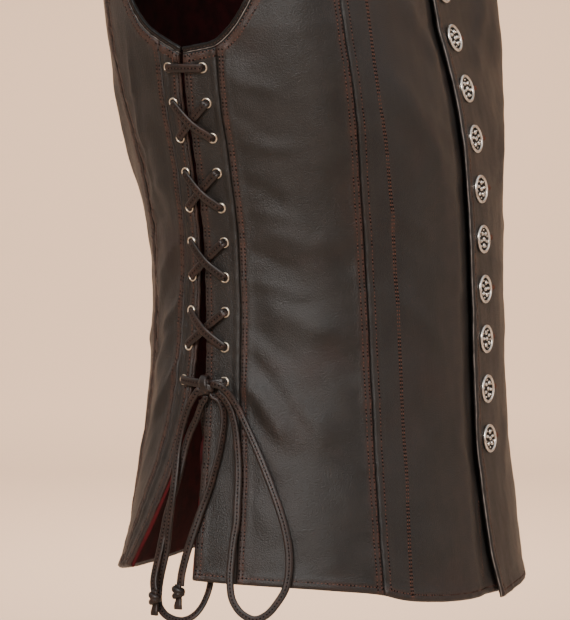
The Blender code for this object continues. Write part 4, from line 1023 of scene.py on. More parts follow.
def at_stitch_pitch(line, *grids):
    """The grids' rows at an even pitch along a line of points."""
    run = run_along(line)
    count = max(2, int(run[-1] / STITCH_PITCH))
    wanted = (np.arange(count) + 0.5) * run[-1] / count
    return [read_at(wanted, run, grid) for grid in grids]


for surface in surfaces:
    shapes = []
    for owner, line, distance, thread in sewn_rows:
        if owner == surface and len(line) > 3:
            row = seated_row(surface, line, distance, STITCH_PITCH)
            if len(row[0]):
                shapes += [stitches(thread, *row), stitch_holes(*row)]
    if shapes:
        joined(f"stitching_{surface}", shapes)


# The lining: dull dark red cloth, a back piece and two fronts, sewn in to the edge of the slits and hem.
# It rolls out a little past the leather along both slits, where it shows as a thin red edge. The cloth
# inside is coloured darker than the same cloth at those rolled edges: painted shade, for the dim inside.
LINING_OUTSIDE = -0.0022
LINING_INSIDE = -0.0029
LINING_FRONT_EDGE = ((0.0105, 100.2), (0.062, 100.6), (0.112, 100.9), (0.136, 92.6), (0.170, 90.4),
                     (0.267, 89.4), (0.3655, 87.4))
LINING_BACK_EDGE = ((0.0145, 121.9), (0.045, 116.0), (0.080, 111.0), (0.110, 108.0), (0.136, 112.4),
                    (0.193, 111.6), (0.256, 108.0), (0.3680, 104.2))
LINING_FRONT_X = -0.056
LINING_NECK = ((35.0, 0.609), (60.0, 0.657), (90.0, NECK_LEVEL))
LINING_INSET = 0.003
LINING_ARM_INSET = 0.006
ARMHOLE_CENTRE = (94.0, 0.450)
LINING_ARMHOLE_GROWTH = 1.035
# Painted shade: the inside cloth's darker red; the rolled edges take the lighter colours below.
SHADED_LINING_RED = (0.040, 0.0040, 0.0052)
SHADED_LINING_SLUB = (0.016, 0.0020, 0.0026)
ROLL_COLOUR = (0.085, 0.0068, 0.0086)
ROLL_SHADE = (0.050, 0.0045, 0.0060)
UP_LINING = graded(0.36, 0.002, 0.006, 0.006)
ARM_LINING = np.linspace(0, 1, 34)
ACROSS_LINING = graded(0.22, 0.002, 0.006, 0.006, both=True)


def lining_finish(name, light, shade):
    """A plainly woven cloth, a little slubbed."""
    made = Finish(name, 0.86, specular=0.15)
    warp = made.node("ShaderNodeTexWave", {"bands_direction": "Z"}, {"Vector": made.metres, "Scale": 520.0})
    weft = made.node("ShaderNodeTexWave", {"bands_direction": "X"}, {"Vector": made.metres, "Scale": 520.0})
    slub = made.noise(90.0, 4.0, 0.6)
    colour = made.mix(slub.between(0.3, 0.7), shade, light)
    weave = warp * 0.5 + weft * 0.5 + made.noise(900.0, 2.0, 0.5) * 0.6
    return made.feed(Base_Color=colour, Normal=made.bump(weave, 0.0002, 0.7)).material


# Painted shade: the same cloth, darker inside than at its rolled edges.
lining_cloth = lining_finish("lining_cloth", SHADED_LINING_RED, SHADED_LINING_SLUB)
lining_fold = lining_finish("lining_fold", ROLL_COLOUR, ROLL_SHADE)


def lining_edge(rows, armhole):
    """The lining's side edge: beside the strip and slit, then round the armhole to the shoulder."""
    low = at_levels(rows, rows[0][0] + (rows[-1][0] - rows[0][0]) * UP_LINING)
    centre = np.array(ARMHOLE_CENTRE)
    round_arm = centre + (spaced(armhole, ARM_LINING) - centre) * LINING_ARMHOLE_GROWTH
    round_arm[-1] = armhole[-1][0], armhole[-1][1] + LINING_ARM_INSET
    return np.concatenate([low, round_arm[1:]])


def lining(name, places):
    """A lining piece, slack and creased just inside the leather."""
    angle, level = places[..., 0], places[..., 1]
    x, y = angle * DEGREE_ARC, level
    slack = -0.0004 * (1 + np.sin(88 * x + 41 * y) * np.sin(37 * x - 95 * y + 0.6))
    slack = slack + folded(angle, level, FINE_FRONT_FOLDS + FINE_BACK_FOLDS)
    normal = outward(angle, level)
    outer = place(angle, level, LINING_OUTSIDE) + normal * slack[..., None]
    inner = place(angle, level, LINING_INSIDE) + normal * slack[..., None]
    piece = grid_mesh(name, outer, inner, lining_cloth)[0]
    dressed(piece, name.replace("_cloth", ""))
    cut = cut_of(places)


front_edge = lining_edge(LINING_FRONT_EDGE, FRONT_ARMHOLE)
front_edge[-1, 0] -= 0.5
neck_rows = 20
neck_edge = spaced([(a, level - LINING_INSET) for a, level in LINING_NECK], np.linspace(0, 1, neck_rows + 1))
rows_between = len(front_edge) - neck_rows - len(UP_LINING) + 1
below_neck = np.concatenate([UP_LINING * 0.7, 0.7 + 0.3 * np.linspace(0, 1, rows_between)[1:]])
front_levels = -0.001 + (neck_edge[0, 1] + 0.001) * below_neck
inner_edge = np.stack([angle_at_x(LINING_FRONT_X, front_levels), front_levels], -1)
inner_edge = np.concatenate([inner_edge[:-1], neck_edge])
inner_edge[-1, 0] = front_edge[-1, 0]
bottom_edge = line_between(front_edge[0], inner_edge[0], ACROSS_LINING)
bottom_edge[:, 1] = hem(bottom_edge[:, 0]) + LINING_INSET
bottom_edge[0], bottom_edge[-1] = front_edge[0], inner_edge[0]
lining_up = np.linspace(0, 1, len(front_edge))
front_lining = coons(front_edge, inner_edge, bottom_edge,
                     line_between(front_edge[-1], inner_edge[-1], ACROSS_LINING), lining_up, ACROSS_LINING)
lining("lining_cloth_front_right", front_lining)
lining("lining_cloth_front_left", mirrored(front_lining))

right_edge = lining_edge(LINING_BACK_EDGE, BACK_ARMHOLE)
right_edge[-1, 0] += 0.5
over_shoulder = line_between(right_edge[-1], (right_edge[-1, 0], NECK_LEVEL - LINING_INSET),
                             np.linspace(0, 1, 20))
right_edge = np.concatenate([right_edge, over_shoulder[1:]])
left_edge = mirrored(right_edge)
bottom_edge = line_between(right_edge[0], left_edge[0], ACROSS_LINING)
bottom_edge[1:-1, 1] = hem(bottom_edge[1:-1, 0]) + LINING_INSET
lining("lining_cloth_back", coons(right_edge, left_edge, bottom_edge,
                                  line_between(right_edge[-1], left_edge[-1], ACROSS_LINING),
                                  np.linspace(0, 1, len(right_edge)), ACROSS_LINING))


def frames(points, normals):
    """Ways along, aside and up at each point of a flat cord or band that keeps its face outwards."""
    along = unit(np.gradient(points, axis=0))
    aside = np.cross(along, normals)
    size = np.linalg.norm(aside, axis=1)
    sure = np.flatnonzero(size > 0.5)
    aside[sure] /= size[sure, None]
    for before, k in zip(sure, sure[1:]):
        if aside[before] @ aside[k] < 0:
            aside[k] = -aside[k]
    aside = read_at(np.arange(len(points)), sure, aside[sure])
    aside = unit(aside - along * (aside * along).sum(1, keepdims=True))
    return along, aside, np.cross(aside, along)


def swept(points, aside, up, section, scale=1.0, closed=False):
    """Points and faces of a section, rows of distance aside and up, carried along a line of points."""
    section, scale = np.array(section), np.broadcast_to(scale, (len(points), 2))
    rings = (points[:, None] + aside[:, None] * section[None, :, :1] * scale[:, None, :1]
             + up[:, None] * section[None, :, 1:] * scale[:, None, 1:])
    return rings.reshape(-1, 3), ring_faces(len(points), len(section), closed)


def trim(name, finish, points, aside, up, section, scale=1.0):
    """A narrow trim: a section carried along a line of points, in a finish of its own."""
    joined(name, [(*swept(points, aside, up, section, scale), finish)])


def oval(half_width, half_height, count=12):
    turn = round_turns(count)
    return np.stack([half_width * np.cos(turn), half_height * np.sin(turn)], -1)


# Where the lining's edge rolls out beside each slit, as rows of level and angle
ROLL_HALF_HEIGHT = 0.0010
ROLL_FRONT = ((0.0095, 100.5), (0.062, 100.9), (0.105, 101.4))
ROLL_BACK = ((0.0135, 121.5), (0.045, 115.5), (0.080, 110.5), (0.106, 108.2))
for vest_side in ("right", "left"):
    for name, rows, hand, beyond, half_width, above in (
        ("front", ROLL_FRONT, 1, 0.0001, 0.0009, -0.0017), ("back", ROLL_BACK, -1, 0.0010, 0.0023, -0.0018),
    ):
        levels = np.linspace(rows[0][0], rows[-1][0], 90)
        edge = on_side(at_levels(rows, levels), vest_side)
        edge = beside(edge, (hand if vest_side == "right" else -hand) * beyond)
        points = place(edge[:, 0], edge[:, 1], above)
        along, aside, up = frames(points, outward(edge[:, 0], edge[:, 1]))
        taper = np.stack([0.25 + 0.75 * ramp(levels, rows[-1][0], rows[0][0] + 0.02)] * 2, -1)
        trim(f"lining_roll_{name}_{vest_side}", lining_fold, points, aside, up,
             oval(half_width, ROLL_HALF_HEIGHT), taper)


# The bound edges of the armholes and neck: a narrow fold of smooth black leather, turned over the edge
# and stitched through, which stands a little proud of the panels. Its near-black is partly its own colour
# and partly painted shade, and a thin pale line along its leather side is a painted highlight.
BINDING_RADIUS = 0.0019
BINDING_SINK = -0.0010
NECK_BINDING_START = 12.0
BINDING_SECTION = ((0.0019, 0.0000), (0.0017, 0.0009), (0.0011, 0.0014), (0.0003, 0.0015),
                   (-0.0004, 0.0011), (-0.0008, 0.0008), (-0.0012, 0.0012), (-0.0017, 0.0013),
                   (-0.0021, 0.0009), (-0.0022, 0.0002), (-0.0019, -0.0006), (-0.0008, -0.0013),
                   (0.0008, -0.0013), (0.0017, -0.0008))
BINDING_STITCH_ABOVE = 0.0010
BINDING_STITCH_ASIDE = 0.0006
BINDING_STEP = 0.0022
BINDING_END_TRIM = 0.0006
# Darker than the panels' leather: partly the binding's own black, partly painted shade.
EDGE_COLOUR = (0.0026, 0.0023, 0.0022)
# The thin pale line beside each binding: a painted highlight, in a pale finish of its own.
HIGHLIGHT_LINE_RADIUS = 0.00042
HIGHLIGHT_LINE_ASIDE = 0.0021
HIGHLIGHT_LINE_ABOVE = 0.0007
PAINTED_HIGHLIGHT_COLOUR = (0.240, 0.215, 0.200)


def edge_finish():
    """Smooth black leather with a low shine, darker than the panels: partly its own black, partly painted
    shade.
    """
    made = Finish("edge_leather", 0.30, specular=0.28)
    grain = made.noise(1300.0, 4.0, 0.65)
    dull = made.noise(60.0, 4.0, 0.6)
    colour = made.mix(dull.between(0.3, 0.8), EDGE_COLOUR, tuple(2.2 * part for part in EDGE_COLOUR))
    return made.feed(Base_Color=colour, Roughness=0.24 + 0.20 * dull,
                     Normal=made.bump(grain, 0.00015, 0.6)).material


edge_leather = edge_finish()
# The pale line's finish: its light colour is a painted highlight.
painted_highlight_line = Finish("painted_highlight_line", 0.34, specular=0.6)
painted_highlight_line = painted_highlight_line.feed(Base_Color=painted_highlight_line.mix(
    painted_highlight_line.noise(160.0).between(0.3, 0.7), PAINTED_HIGHLIGHT_COLOUR,
    tuple(0.35 * part for part in PAINTED_HIGHLIGHT_COLOUR))).material


def evened(points, step, rounds):
    """A line of points at even steps, with its sharp turns rounded off and its ends kept."""
    run = run_along(points[:, :3])
    line = read_at(np.linspace(0, run[-1], round(run[-1] / step)), run, points)
    for _ in range(rounds):
        line[1:-1] = 0.5 * line[1:-1] + 0.25 * (line[:-2] + line[2:])
    return line


def binding(name, node, line, hand, lift=0.0):
    """A bound edge along places, its painted highlight line and its stitches. The hand says which side is
    open.
    """
    edge = place(line[:, 0], line[:, 1], BINDING_SINK + lift)
    normal = outward(line[:, 0], line[:, 1])
    centre = edge + hand * np.cross(unit(np.gradient(edge, axis=0)), normal) * (BINDING_RADIUS + 2 * SEAM_GAP)
    both = evened(np.concatenate([centre, normal], 1), BINDING_STEP, 5)
    centre, normal = both[:, :3], both[:, 3:]
    way = unit(np.gradient(centre, axis=0))
    centre[0] += way[0] * BINDING_END_TRIM
    centre[-1] -= way[-1] * BINDING_END_TRIM
    along = unit(np.gradient(centre, axis=0))
    aside = unit(hand * np.cross(along, normal))
    up = np.cross(aside, along)
    up *= np.sign((up * normal).sum(1, keepdims=True))
    run = run_along(centre)
    swell = 1 + 0.05 * wave(run, 0.0071) + 0.04 * wave(run, 0.0113, 0.8)
    # Where the painted highlight line runs, beside the binding.
    painted_highlight_path = centre - HIGHLIGHT_LINE_ASIDE * aside + HIGHLIGHT_LINE_ABOVE * up
    sewn = centre + up * BINDING_STITCH_ABOVE - BINDING_STITCH_ASIDE * aside
    dressed(joined(name, [
        (*swept(centre, aside, up, BINDING_SECTION, np.stack([swell, swell], -1)), edge_leather),
        (*swept(painted_highlight_path, aside, up, oval(HIGHLIGHT_LINE_RADIUS, HIGHLIGHT_LINE_RADIUS, 6)), painted_highlight_line),
        stitches("dark", *at_stitch_pitch(centre, sewn, along, up)),
    ]), node)


for vest_side in ("right", "left"):
    arm_places = np.concatenate([
        line_between((SLIT_FRONT[-1][1], SLIT_FRONT[-1][0]), FRONT_ARMHOLE[0], np.linspace(0, 1, 8))[:-1],
        spaced(FRONT_ARMHOLE, np.linspace(0, 1, 90)), spaced(BACK_ARMHOLE, np.linspace(0, 1, 90))[::-1][1:],
        line_between(BACK_ARMHOLE[0], (SLIT_BACK[-1][1], SLIT_BACK[-1][0]), np.linspace(0, 1, 8))[1:],
    ])
    arm_places = on_side(arm_places, vest_side)
    binding(f"bound_armhole_{vest_side}", f"binding_armhole_{vest_side}", arm_places,
            -1 if vest_side == "right" else 1, fullness(arm_places[:, 0], arm_places[:, 1]))
neck_line = spaced(NECKLINE, np.linspace(0, 1, 110))
neck_start = neck_line[neck_line[:, 0] > NECK_BINDING_START]
behind_neck = line_between((90.0, NECK_LEVEL), (270.0, NECK_LEVEL), np.linspace(0, 1, 90))
neck_beyond = np.concatenate([behind_neck[1:-1], mirrored(neck_line)[::-1]])
binding("bound_neck", "binding_neck", np.concatenate([neck_start, neck_beyond]), 1,
        np.concatenate([underlap_dip(neck_start[:, 0], neck_start[:, 1]), np.zeros(len(neck_beyond))]))


# The piping of the side back seams: a narrow black fold of leather, caught between the two edges of each
# seam and standing a little way up in its furrow. Its black, with the darkened band beside it, stands partly
# for the shade in the seam's furrow: painted shade.
PIPING_HALF_WIDTH = 0.0010
PIPING_HALF_HEIGHT = 0.0008
PIPING_STEP = 0.0030
for vest_side in ("right", "left"):
    seated, _, normals = seated_row(f"back_side_{vest_side}", back_welt(vest_side), 0.0, PIPING_STEP)
    piping = evened(np.concatenate([seated, normals], -1), PIPING_STEP, 3)
    aside, up = frames(piping[:, :3], unit(piping[:, 3:]))[1:]
    trim(f"side_back_piping_{vest_side}", edge_leather, piping[:, :3], aside, up,
         oval(PIPING_HALF_WIDTH, PIPING_HALF_HEIGHT, 8))


# A thin pale line runs down the lap's edge from the neckline to the hem: a painted highlight, standing
# for the light caught by the edge's rounded turn.
LAP_HIGHLIGHT_STEP = 0.004
LAP_HIGHLIGHT_HALF_WIDTH = 0.00050
LAP_HIGHLIGHT_HALF_HEIGHT = 0.00042
lap_points = evened(lap_edge_points, LAP_HIGHLIGHT_STEP, 2)
lap_aside, lap_up = frames(lap_points, unit(lap_points * np.array([1.0, 1.0, 0.0])))[1:]
trim("painted_highlight_lap", painted_highlight_line, lap_points, lap_aside, lap_up,
     oval(LAP_HIGHLIGHT_HALF_WIDTH, LAP_HIGHLIGHT_HALF_HEIGHT, 8))


# The eyelets: ten nickelled rings down each lacing strip, in two columns to a side. Each is set through a
# hole punched in the leather, with its barrel inside.
EYELET_COUNT = 10
EYELET_TOP = 0.3565
EYELET_PITCH = 0.0238
FRONT_EYELETS = ((0.142, 96.1), (0.166, 96.3), (0.214, 95.7), (0.261, 94.5), (0.308, 93.2), (0.3565, 92.4))
BACK_EYELETS = ((0.142, 109.2), (0.166, 108.0), (0.214, 106.2), (0.261, 103.9), (0.308, 101.9),
                (0.3575, 101.0))
EYELET_PROFILE = ((0.00255, -0.0027), (0.00248, -0.0002), (0.00262, 0.00050), (0.0030, 0.00092),
                  (0.0034, 0.00086), (0.00374, 0.00035), (0.0038, -0.0002), (0.0034, -0.0004),
                  (0.0029, -0.0004), (0.0028, -0.0027))
PUNCH_PROFILE = ((0.0028, 0.004), (0.0028, -0.006))
EYELET_RAY = (0.006, 0.02)
EYELET_COLOUR = (0.80, 0.715, 0.585)


def metal_finish(name, colour, tarnish, roughness, scale):
    """Worn metal with dull and tarnished patches."""
    made = Finish(name, roughness, metallic=1.0)
    dull = made.noise(scale, 5.0, 0.65)
    shade = made.mix(dull.between(0.45, 0.75), colour, tarnish)
    scratches = made.noise(scale * 6, 3.0, 0.7)
    return made.feed(Base_Color=shade, Roughness=roughness - 0.05 + 0.22 * dull,
                     Normal=made.bump(scratches, 0.00006, 0.5)).material


eyelet_metal = metal_finish("eyelet_nickel", EYELET_COLOUR, (0.50, 0.41, 0.30), 0.30, 380.0)


def eyelet_places(rows, side):
    return on_side(at_levels(rows, EYELET_TOP - EYELET_PITCH * np.arange(EYELET_COUNT)), side)


def turned_ring(profile, centre, normal, count, closed):
    """A turned profile, rows of radius and height, about a normal."""
    aside = unit(np.cross(normal, (0.0, 0.0, 1.0)))
    up = np.cross(normal, aside)
    turn = round_turns(count)
    way = np.cos(turn)[:, None] * aside + np.sin(turn)[:, None] * up
    points = np.stack([centre + way * radius + normal * height for radius, height in profile])
    return points, ring_faces(len(profile), count, closed)


for vest_side in ("right", "left"):
    for name, rows in (("front", FRONT_EYELETS), ("back", BACK_EYELETS)):
        surface = f"lacing_strip_{name}_{vest_side}"
        shapes, cuts = [], []
        for angle, level in eyelet_places(rows, vest_side):
            centre, normal = place(angle, level), outward(angle, level)
            hit = hit_on(surface, centre, normal, *EYELET_RAY)
            centre = np.array(hit) if hit else centre
            shapes.append((*turned_ring(EYELET_PROFILE, centre, normal, 24, True), eyelet_metal))
            cuts.append((*turned_ring(PUNCH_PROFILE, centre, normal, 20, False), leather))
        joined(f"eyelets_{name}_{vest_side}", shapes)
        punch = joined(f"punch_{name}_{vest_side}", cuts)
        strip = bpy.data.objects[f"panel_{surface}"]
        step = strip.modifiers.new("eyelet_holes", "BOOLEAN")
        step.object, step.operation, step.solver = punch, "DIFFERENCE", "EXACT"
        finished = strip.evaluated_get(bpy.context.evaluated_depsgraph_get())
        cut_mesh = bpy.data.meshes.new_from_object(finished)
        strip.modifiers.clear()
        strip.data = cut_mesh
        bpy.data.objects.remove(punch)


# The lace: a dark brown leather strip, folded flat and stitched down its middle, which lies about 6 mm
# wide in the lacing and 5 mm wide where it hangs. One length is threaded down both strips of each side,
# and tied in a bow whose loops and ends hang free.
LACE_HALF_WIDTH = 0.0022
LACE_HALF_THICKNESS = 0.00125
LACE_STITCH_SHARE = 0.72
SIDE_LACE_WIDTH = 1.38
STRAND_WIDTH = 1.10
LACE_SIDE_STEP = 0.0024
LACE_ABOVE = 0.0024
LACE_BELOW = -0.0036
LACE_CROSSING = 0.0046
LACE_BOW_OVER = np.array([0.25, 0.0016])
LACE_BOW_UNDER = np.array([-0.15, 0.0006])
LACE_ENTERS = 0.0014
LACE_LEAVES = -0.0028
BOW_KNOT = (99.6, 0.1400, 0.0068)
BOW_KNOT_RADII = (0.0046, 0.0046, 0.0066)
BOW_KNOT_GAP = 0.0007
FRONT_LOOP = (
    (96.6, 0.1406, 0.0108), (95.3, 0.1395, 0.0104), (94.2, 0.1366, 0.0088), (93.0, 0.1321, 0.0064),
    (91.3, 0.1238, 0.0042), (89.5, 0.1142, 0.0036), (86.3, 0.0972, 0.0036), (82.9, 0.0759, 0.0036),
    (80.4, 0.0574, 0.0036), (78.9, 0.0429, 0.0036), (78.1, 0.0296, 0.0036), (78.0, 0.0163, 0.0038),
    (78.6, 0.0053, 0.0040), (80.3, -0.0044, 0.0040), (82.4, -0.0122, 0.0040), (85.0, -0.0160, 0.0040),
    (87.6, -0.0132, 0.0040), (89.4, -0.0078, 0.0040), (90.6, -0.0003, 0.0040), (91.1, 0.0116, 0.0038),
    (91.1, 0.0229, 0.0036), (90.9, 0.0350, 0.0036), (90.4, 0.0484, 0.0036), (90.5, 0.0631, 0.0036),
    (90.6, 0.0799, 0.0036), (91.2, 0.0967, 0.0036), (92.1, 0.1122, 0.0038), (93.5, 0.1243, 0.0046),
    (95.0, 0.1315, 0.0062), (96.5, 0.1357, 0.0080),
)
FRONT_END = (
    (97.8, 0.1322, 0.0062), (96.5, 0.1304, 0.0054), (95.5, 0.1247, 0.0042), (95.1, 0.1160, 0.0036),
    (95.3, 0.1058, 0.0036), (95.8, 0.0945, 0.0036), (96.6, 0.0839, 0.0036), (97.6, 0.0709, 0.0036),
    (99.0, 0.0577, 0.0036), (100.1, 0.0466, 0.0036), (101.1, 0.0358, 0.0036), (102.0, 0.0239, 0.0036),
    (102.6, 0.0126, 0.0036), (102.7, 0.0036, 0.0036),
)
BACK_LOOP = (
    (102.0, 0.1348, 0.0080), (102.9, 0.1312, 0.0078), (104.5, 0.1248, 0.0068), (105.8, 0.1155, 0.0060),
    (106.7, 0.1065, 0.0056), (107.1, 0.0941, 0.0056), (106.9, 0.0804, 0.0060), (106.8, 0.0635, 0.0060),
    (107.4, 0.0468, 0.0040), (108.1, 0.0255, 0.0008), (108.8, 0.0118, 0.0000), (109.7, 0.0010, -0.0026),
    (109.1, -0.0090, -0.0020), (107.2, -0.0150, -0.0005), (104.9, -0.0184, 0.0000),
    (102.2, -0.0193, 0.0000), (100.0, -0.0163, -0.0010), (98.5, -0.0098, -0.0040),
    (97.9, -0.0004, -0.0090), (97.6, 0.0093, -0.0105),
    (97.5, 0.0263, -0.0105), (97.9, 0.0464, -0.0105), (99.2, 0.0666, -0.0105), (101.6, 0.0898, -0.0105),
    (103.6, 0.1097, -0.0090), (103.4, 0.1215, -0.0045), (102.7, 0.1290, 0.0000),
)
BACK_END = (
    (100.1, 0.1303, 0.0056), (101.4, 0.1256, 0.0045), (103.0, 0.1166, 0.0028), (104.8, 0.1076, 0.0018),
    (106.1, 0.0968, 0.0014), (106.8, 0.0837, 0.0014), (107.5, 0.0721, 0.0014), (108.2, 0.0610, 0.0020),
    (108.8, 0.0497, 0.0026), (109.0, 0.0374, 0.0030), (109.2, 0.0249, 0.0036), (109.5, 0.0127, 0.0042),
    (109.4, 0.0045, 0.0048), (108.7, -0.0020, 0.0052),
)
FRONT_END_KNOT = (103.0, -0.0010, 0.0036)
BACK_END_KNOT = (108.4, -0.0065, 0.0052)
# Along each strand, how far its broad face turns away, in degrees, and how much wider it lies
TURN_OF_STRANDS = {
    "front_loop": ((0.0, 0.0, 1.0), (0.3, 10.0, 1.1), (0.5, 0.0, 1.05), (0.75, -12.0, 1.1),
                   (1.0, 10.0, 1.0)),
    "front_end": ((0.0, 45.0, 0.95), (0.45, 40.0, 1.05), (0.75, 8.0, 1.20), (1.0, 0.0, 1.22)),
    "back_loop": ((0.0, 22.0, 1.0), (0.25, 16.0, 1.1), (0.5, 22.0, 1.05), (0.7, 10.0, 1.05),
                  (1.0, 0.0, 0.95)),
    "back_end": ((0.0, 30.0, 0.95), (0.4, 22.0, 1.05), (0.7, 10.0, 1.18), (1.0, 0.0, 1.22)),
}
LACE_STEP = 0.0014
SIDE_LACE_STEP = 0.0011
SIDE_LACE_AT_KNOT = 0.0050


def lace_finish():
    """Dark brown leather, browner where it is worn."""
    made = Finish("lace_leather", 0.36, specular=0.42)
    wear = made.noise(120.0, 4.0, 0.65)
    grain = made.noise(1500.0, 4.0, 0.7)
    colour = made.mix(wear.between(0.42, 0.72), (0.0090, 0.0052, 0.0042), (0.0290, 0.0125, 0.0085))
    return made.feed(Base_Color=colour, Roughness=0.30 + 0.22 * wear,
                     Normal=made.bump(grain, 0.00022, 0.8)).material


lace_leather = lace_finish()
lace_turns = round_turns(16)
lace_section = np.stack([
    LACE_HALF_WIDTH * np.sign(np.cos(lace_turns)) * np.abs(np.cos(lace_turns)) ** 0.75,
    LACE_HALF_THICKNESS * np.sin(lace_turns) * (1 - 0.34 * np.exp(-((np.cos(lace_turns) / 0.30) ** 2))),
], -1)


def along_rows(rows, step):
    """Points and normals at even steps on a smooth line through rows of angle, level and distance above."""
    angle, level, above = through(rows, 24).T
    points, normals = place(angle, level, above), outward(angle, level)
    run = run_along(points)
    wanted = np.linspace(0, run[-1], max(6, round(run[-1] / step)))
    return read_at(wanted, run, points), read_at(wanted, run, normals)


def lace_shapes(points, normals, turn=None, width=1.0):
    """A folded lace along its points, with the stitches down the middle of its outer face."""
    along, aside, up = frames(points, normals)
    if turn is not None:
        c, s = np.cos(np.radians(turn))[:, None], np.sin(np.radians(turn))[:, None]
        aside, up = aside * c + up * s, up * c - aside * s
    widths = np.stack([np.broadcast_to(width, len(points)), np.ones(len(points))], -1)
    facing = np.sign((up * normals).sum(1, keepdims=True))
    face = points + up * facing * (LACE_STITCH_SHARE * LACE_HALF_THICKNESS)
    row = at_stitch_pitch(points, face, along, up * facing)
    return [(*swept(points, aside, up, lace_section, widths), lace_leather),
            stitches("dark", *row), stitch_holes(*row)]


def toward(here, there, above):
    """A point beside an eyelet, a short step on the way to another place."""
    scale = np.array([DEGREE_ARC, 1.0])
    way = (there - here) * scale
    step = LACE_SIDE_STEP * way / np.linalg.norm(way) / scale
    return (*(here + step), above)


def lacing_rows(front, back, bow):
    """The lace's way through both columns of eyelets, as rows of angle, level and distance above."""
    columns = {"front": front, "back": back}
    other = {"front": "back", "back": "front"}
    way, side = [], "front"
    for row in range(EYELET_COUNT - 1, 0, -1):
        way.append((side, row))
        if row % 2 == 0:
            side = other[side]
    way += [(side, 0), (other[side], 0)]
    side = other[side]
    for row in range(1, EYELET_COUNT):
        way.append((side, row))
        if row % 2 == 1 and row < EYELET_COUNT - 1:
            side = other[side]
    rows = []
    for step, (column, row) in enumerate(way):
        here = columns[column][row]
        before = columns[way[step - 1][0]][way[step - 1][1]] if step else bow
        after = columns[way[step + 1][0]][way[step + 1][1]] if step + 1 < len(way) else bow
        comes_from_outside = step % 2 == 0
        outside = before if comes_from_outside else after
        inside = after if comes_from_outside else before
        passage = [toward(here, outside, LACE_ABOVE), (*here, LACE_ENTERS), (*here, LACE_LEAVES),
                   toward(here, inside, LACE_BELOW)]
        rows += passage if comes_from_outside else passage[::-1]
        if not comes_from_outside and 0 < row < EYELET_COUNT - 1:
            over = (column == "back") == (way[step + 1][1] > row)
            middle = (here + after) / 2 - (LACE_BOW_OVER if over else LACE_BOW_UNDER)
            rows.append((*middle, LACE_CROSSING if over else LACE_ABOVE))
    return rows


def loop_shape(centre, out, aside, up, half_out, half_up, section, lean, count=30):
    """A closed turn of lace round a knot, in the plane of two ways, leaning over to the side."""
    turn = round_turns(count)
    c, s = np.cos(turn)[:, None], np.sin(turn)[:, None]
    ring = centre + c * half_out * out + s * half_up * up + s * lean * aside
    facing = unit(c * out / half_out + s * up / half_up)
    way = unit(np.gradient(np.concatenate([ring[-1:], ring, ring[:1]]), axis=0)[1:-1])
    facing = unit(facing - way * (facing * way).sum(1, keepdims=True))
    return (*swept(ring, np.cross(way, facing), facing, section, closed=True), lace_leather)


def bead(centre, radii, axes, across=8, high=6):
    """A rounded bead, with its three radii along three ways."""
    lift = (np.arange(high + 1) / high - 0.5) * math.pi
    turn = round_turns(across)
    ring = np.stack([np.cos(lift)[:, None] * np.cos(turn), np.cos(lift)[:, None] * np.sin(turn),
                     np.sin(lift)[:, None] * np.ones(across)], -1)[1:-1]
    points = np.concatenate([ring.reshape(-1, 3), [(0, 0, -1), (0, 0, 1)]]) * np.array(radii)
    faces = ring_faces(high - 1, across, capped=False)
    low, top, last = len(points) - 2, len(points) - 1, (high - 2) * across
    faces += [[low, (k + 1) % across, k] for k in range(across)]
    faces += [[top, last + k, last + (k + 1) % across] for k in range(across)]
    return centre + points @ np.array(axes), faces


def bow_knot_shapes(centre, normal):
    """The bow's knot: an upright turn of lace over a level one, with the strands pulled through."""
    up = unit(np.array([0.0, 0.0, 1.0]) - normal * normal[2])
    aside = np.cross(normal, up)
    upright = centre + aside * 0.0006
    level = centre - up * 0.0010 + normal * 0.0004
    below = centre - up * 0.0048 + aside * 0.0012 - normal * 0.0004
    middle = bead(centre + normal * 0.0014, (0.0034, 0.0046, 0.0026), (aside, up, normal), 16, 10)
    return [
        loop_shape(upright, normal, aside, up, 0.0036, 0.0056, lace_section * np.array([1.35, 1.2]), 0.0012),
        loop_shape(level, normal, up, aside, 0.0026, 0.0052, lace_section * 1.15, 0.0016),
        loop_shape(below, normal, up, aside, 0.0024, 0.0046, lace_section, -0.0010),
        (*middle, lace_leather),
    ]


def end_knot_shapes(centre, normal):
    """The knot on a free end: two slanting turns of lace, with a short flat tail under them."""
    up = np.array([0.0, 0.0, 1.0])
    aside = unit(np.cross(normal, up))
    out = np.cross(up, aside)
    wrap = oval(0.0021, 0.0014)
    down = np.linspace(0.0058, -0.0112, 16)
    tail = centre + up * down[:, None] + out * (0.0006 * np.sin(down * 500))[:, None]
    width = 1.15 - 0.2 * ramp(-down, -0.003, 0.001) + 0.45 * ramp(-down, 0.001, 0.0105)
    asides, outs = np.tile(aside, (len(down), 1)), np.tile(out, (len(down), 1))
    return [
        loop_shape(centre + up * 0.0018, out, up, aside, 0.0026, 0.0034, wrap, 0.0009),
        loop_shape(centre - up * 0.0012, out, up, aside, 0.0025, 0.0032, wrap, -0.0011),
        (*swept(tail, asides, outs, lace_section, np.stack([width, 1.2 * np.ones(len(down))], -1)),
         lace_leather),
    ]


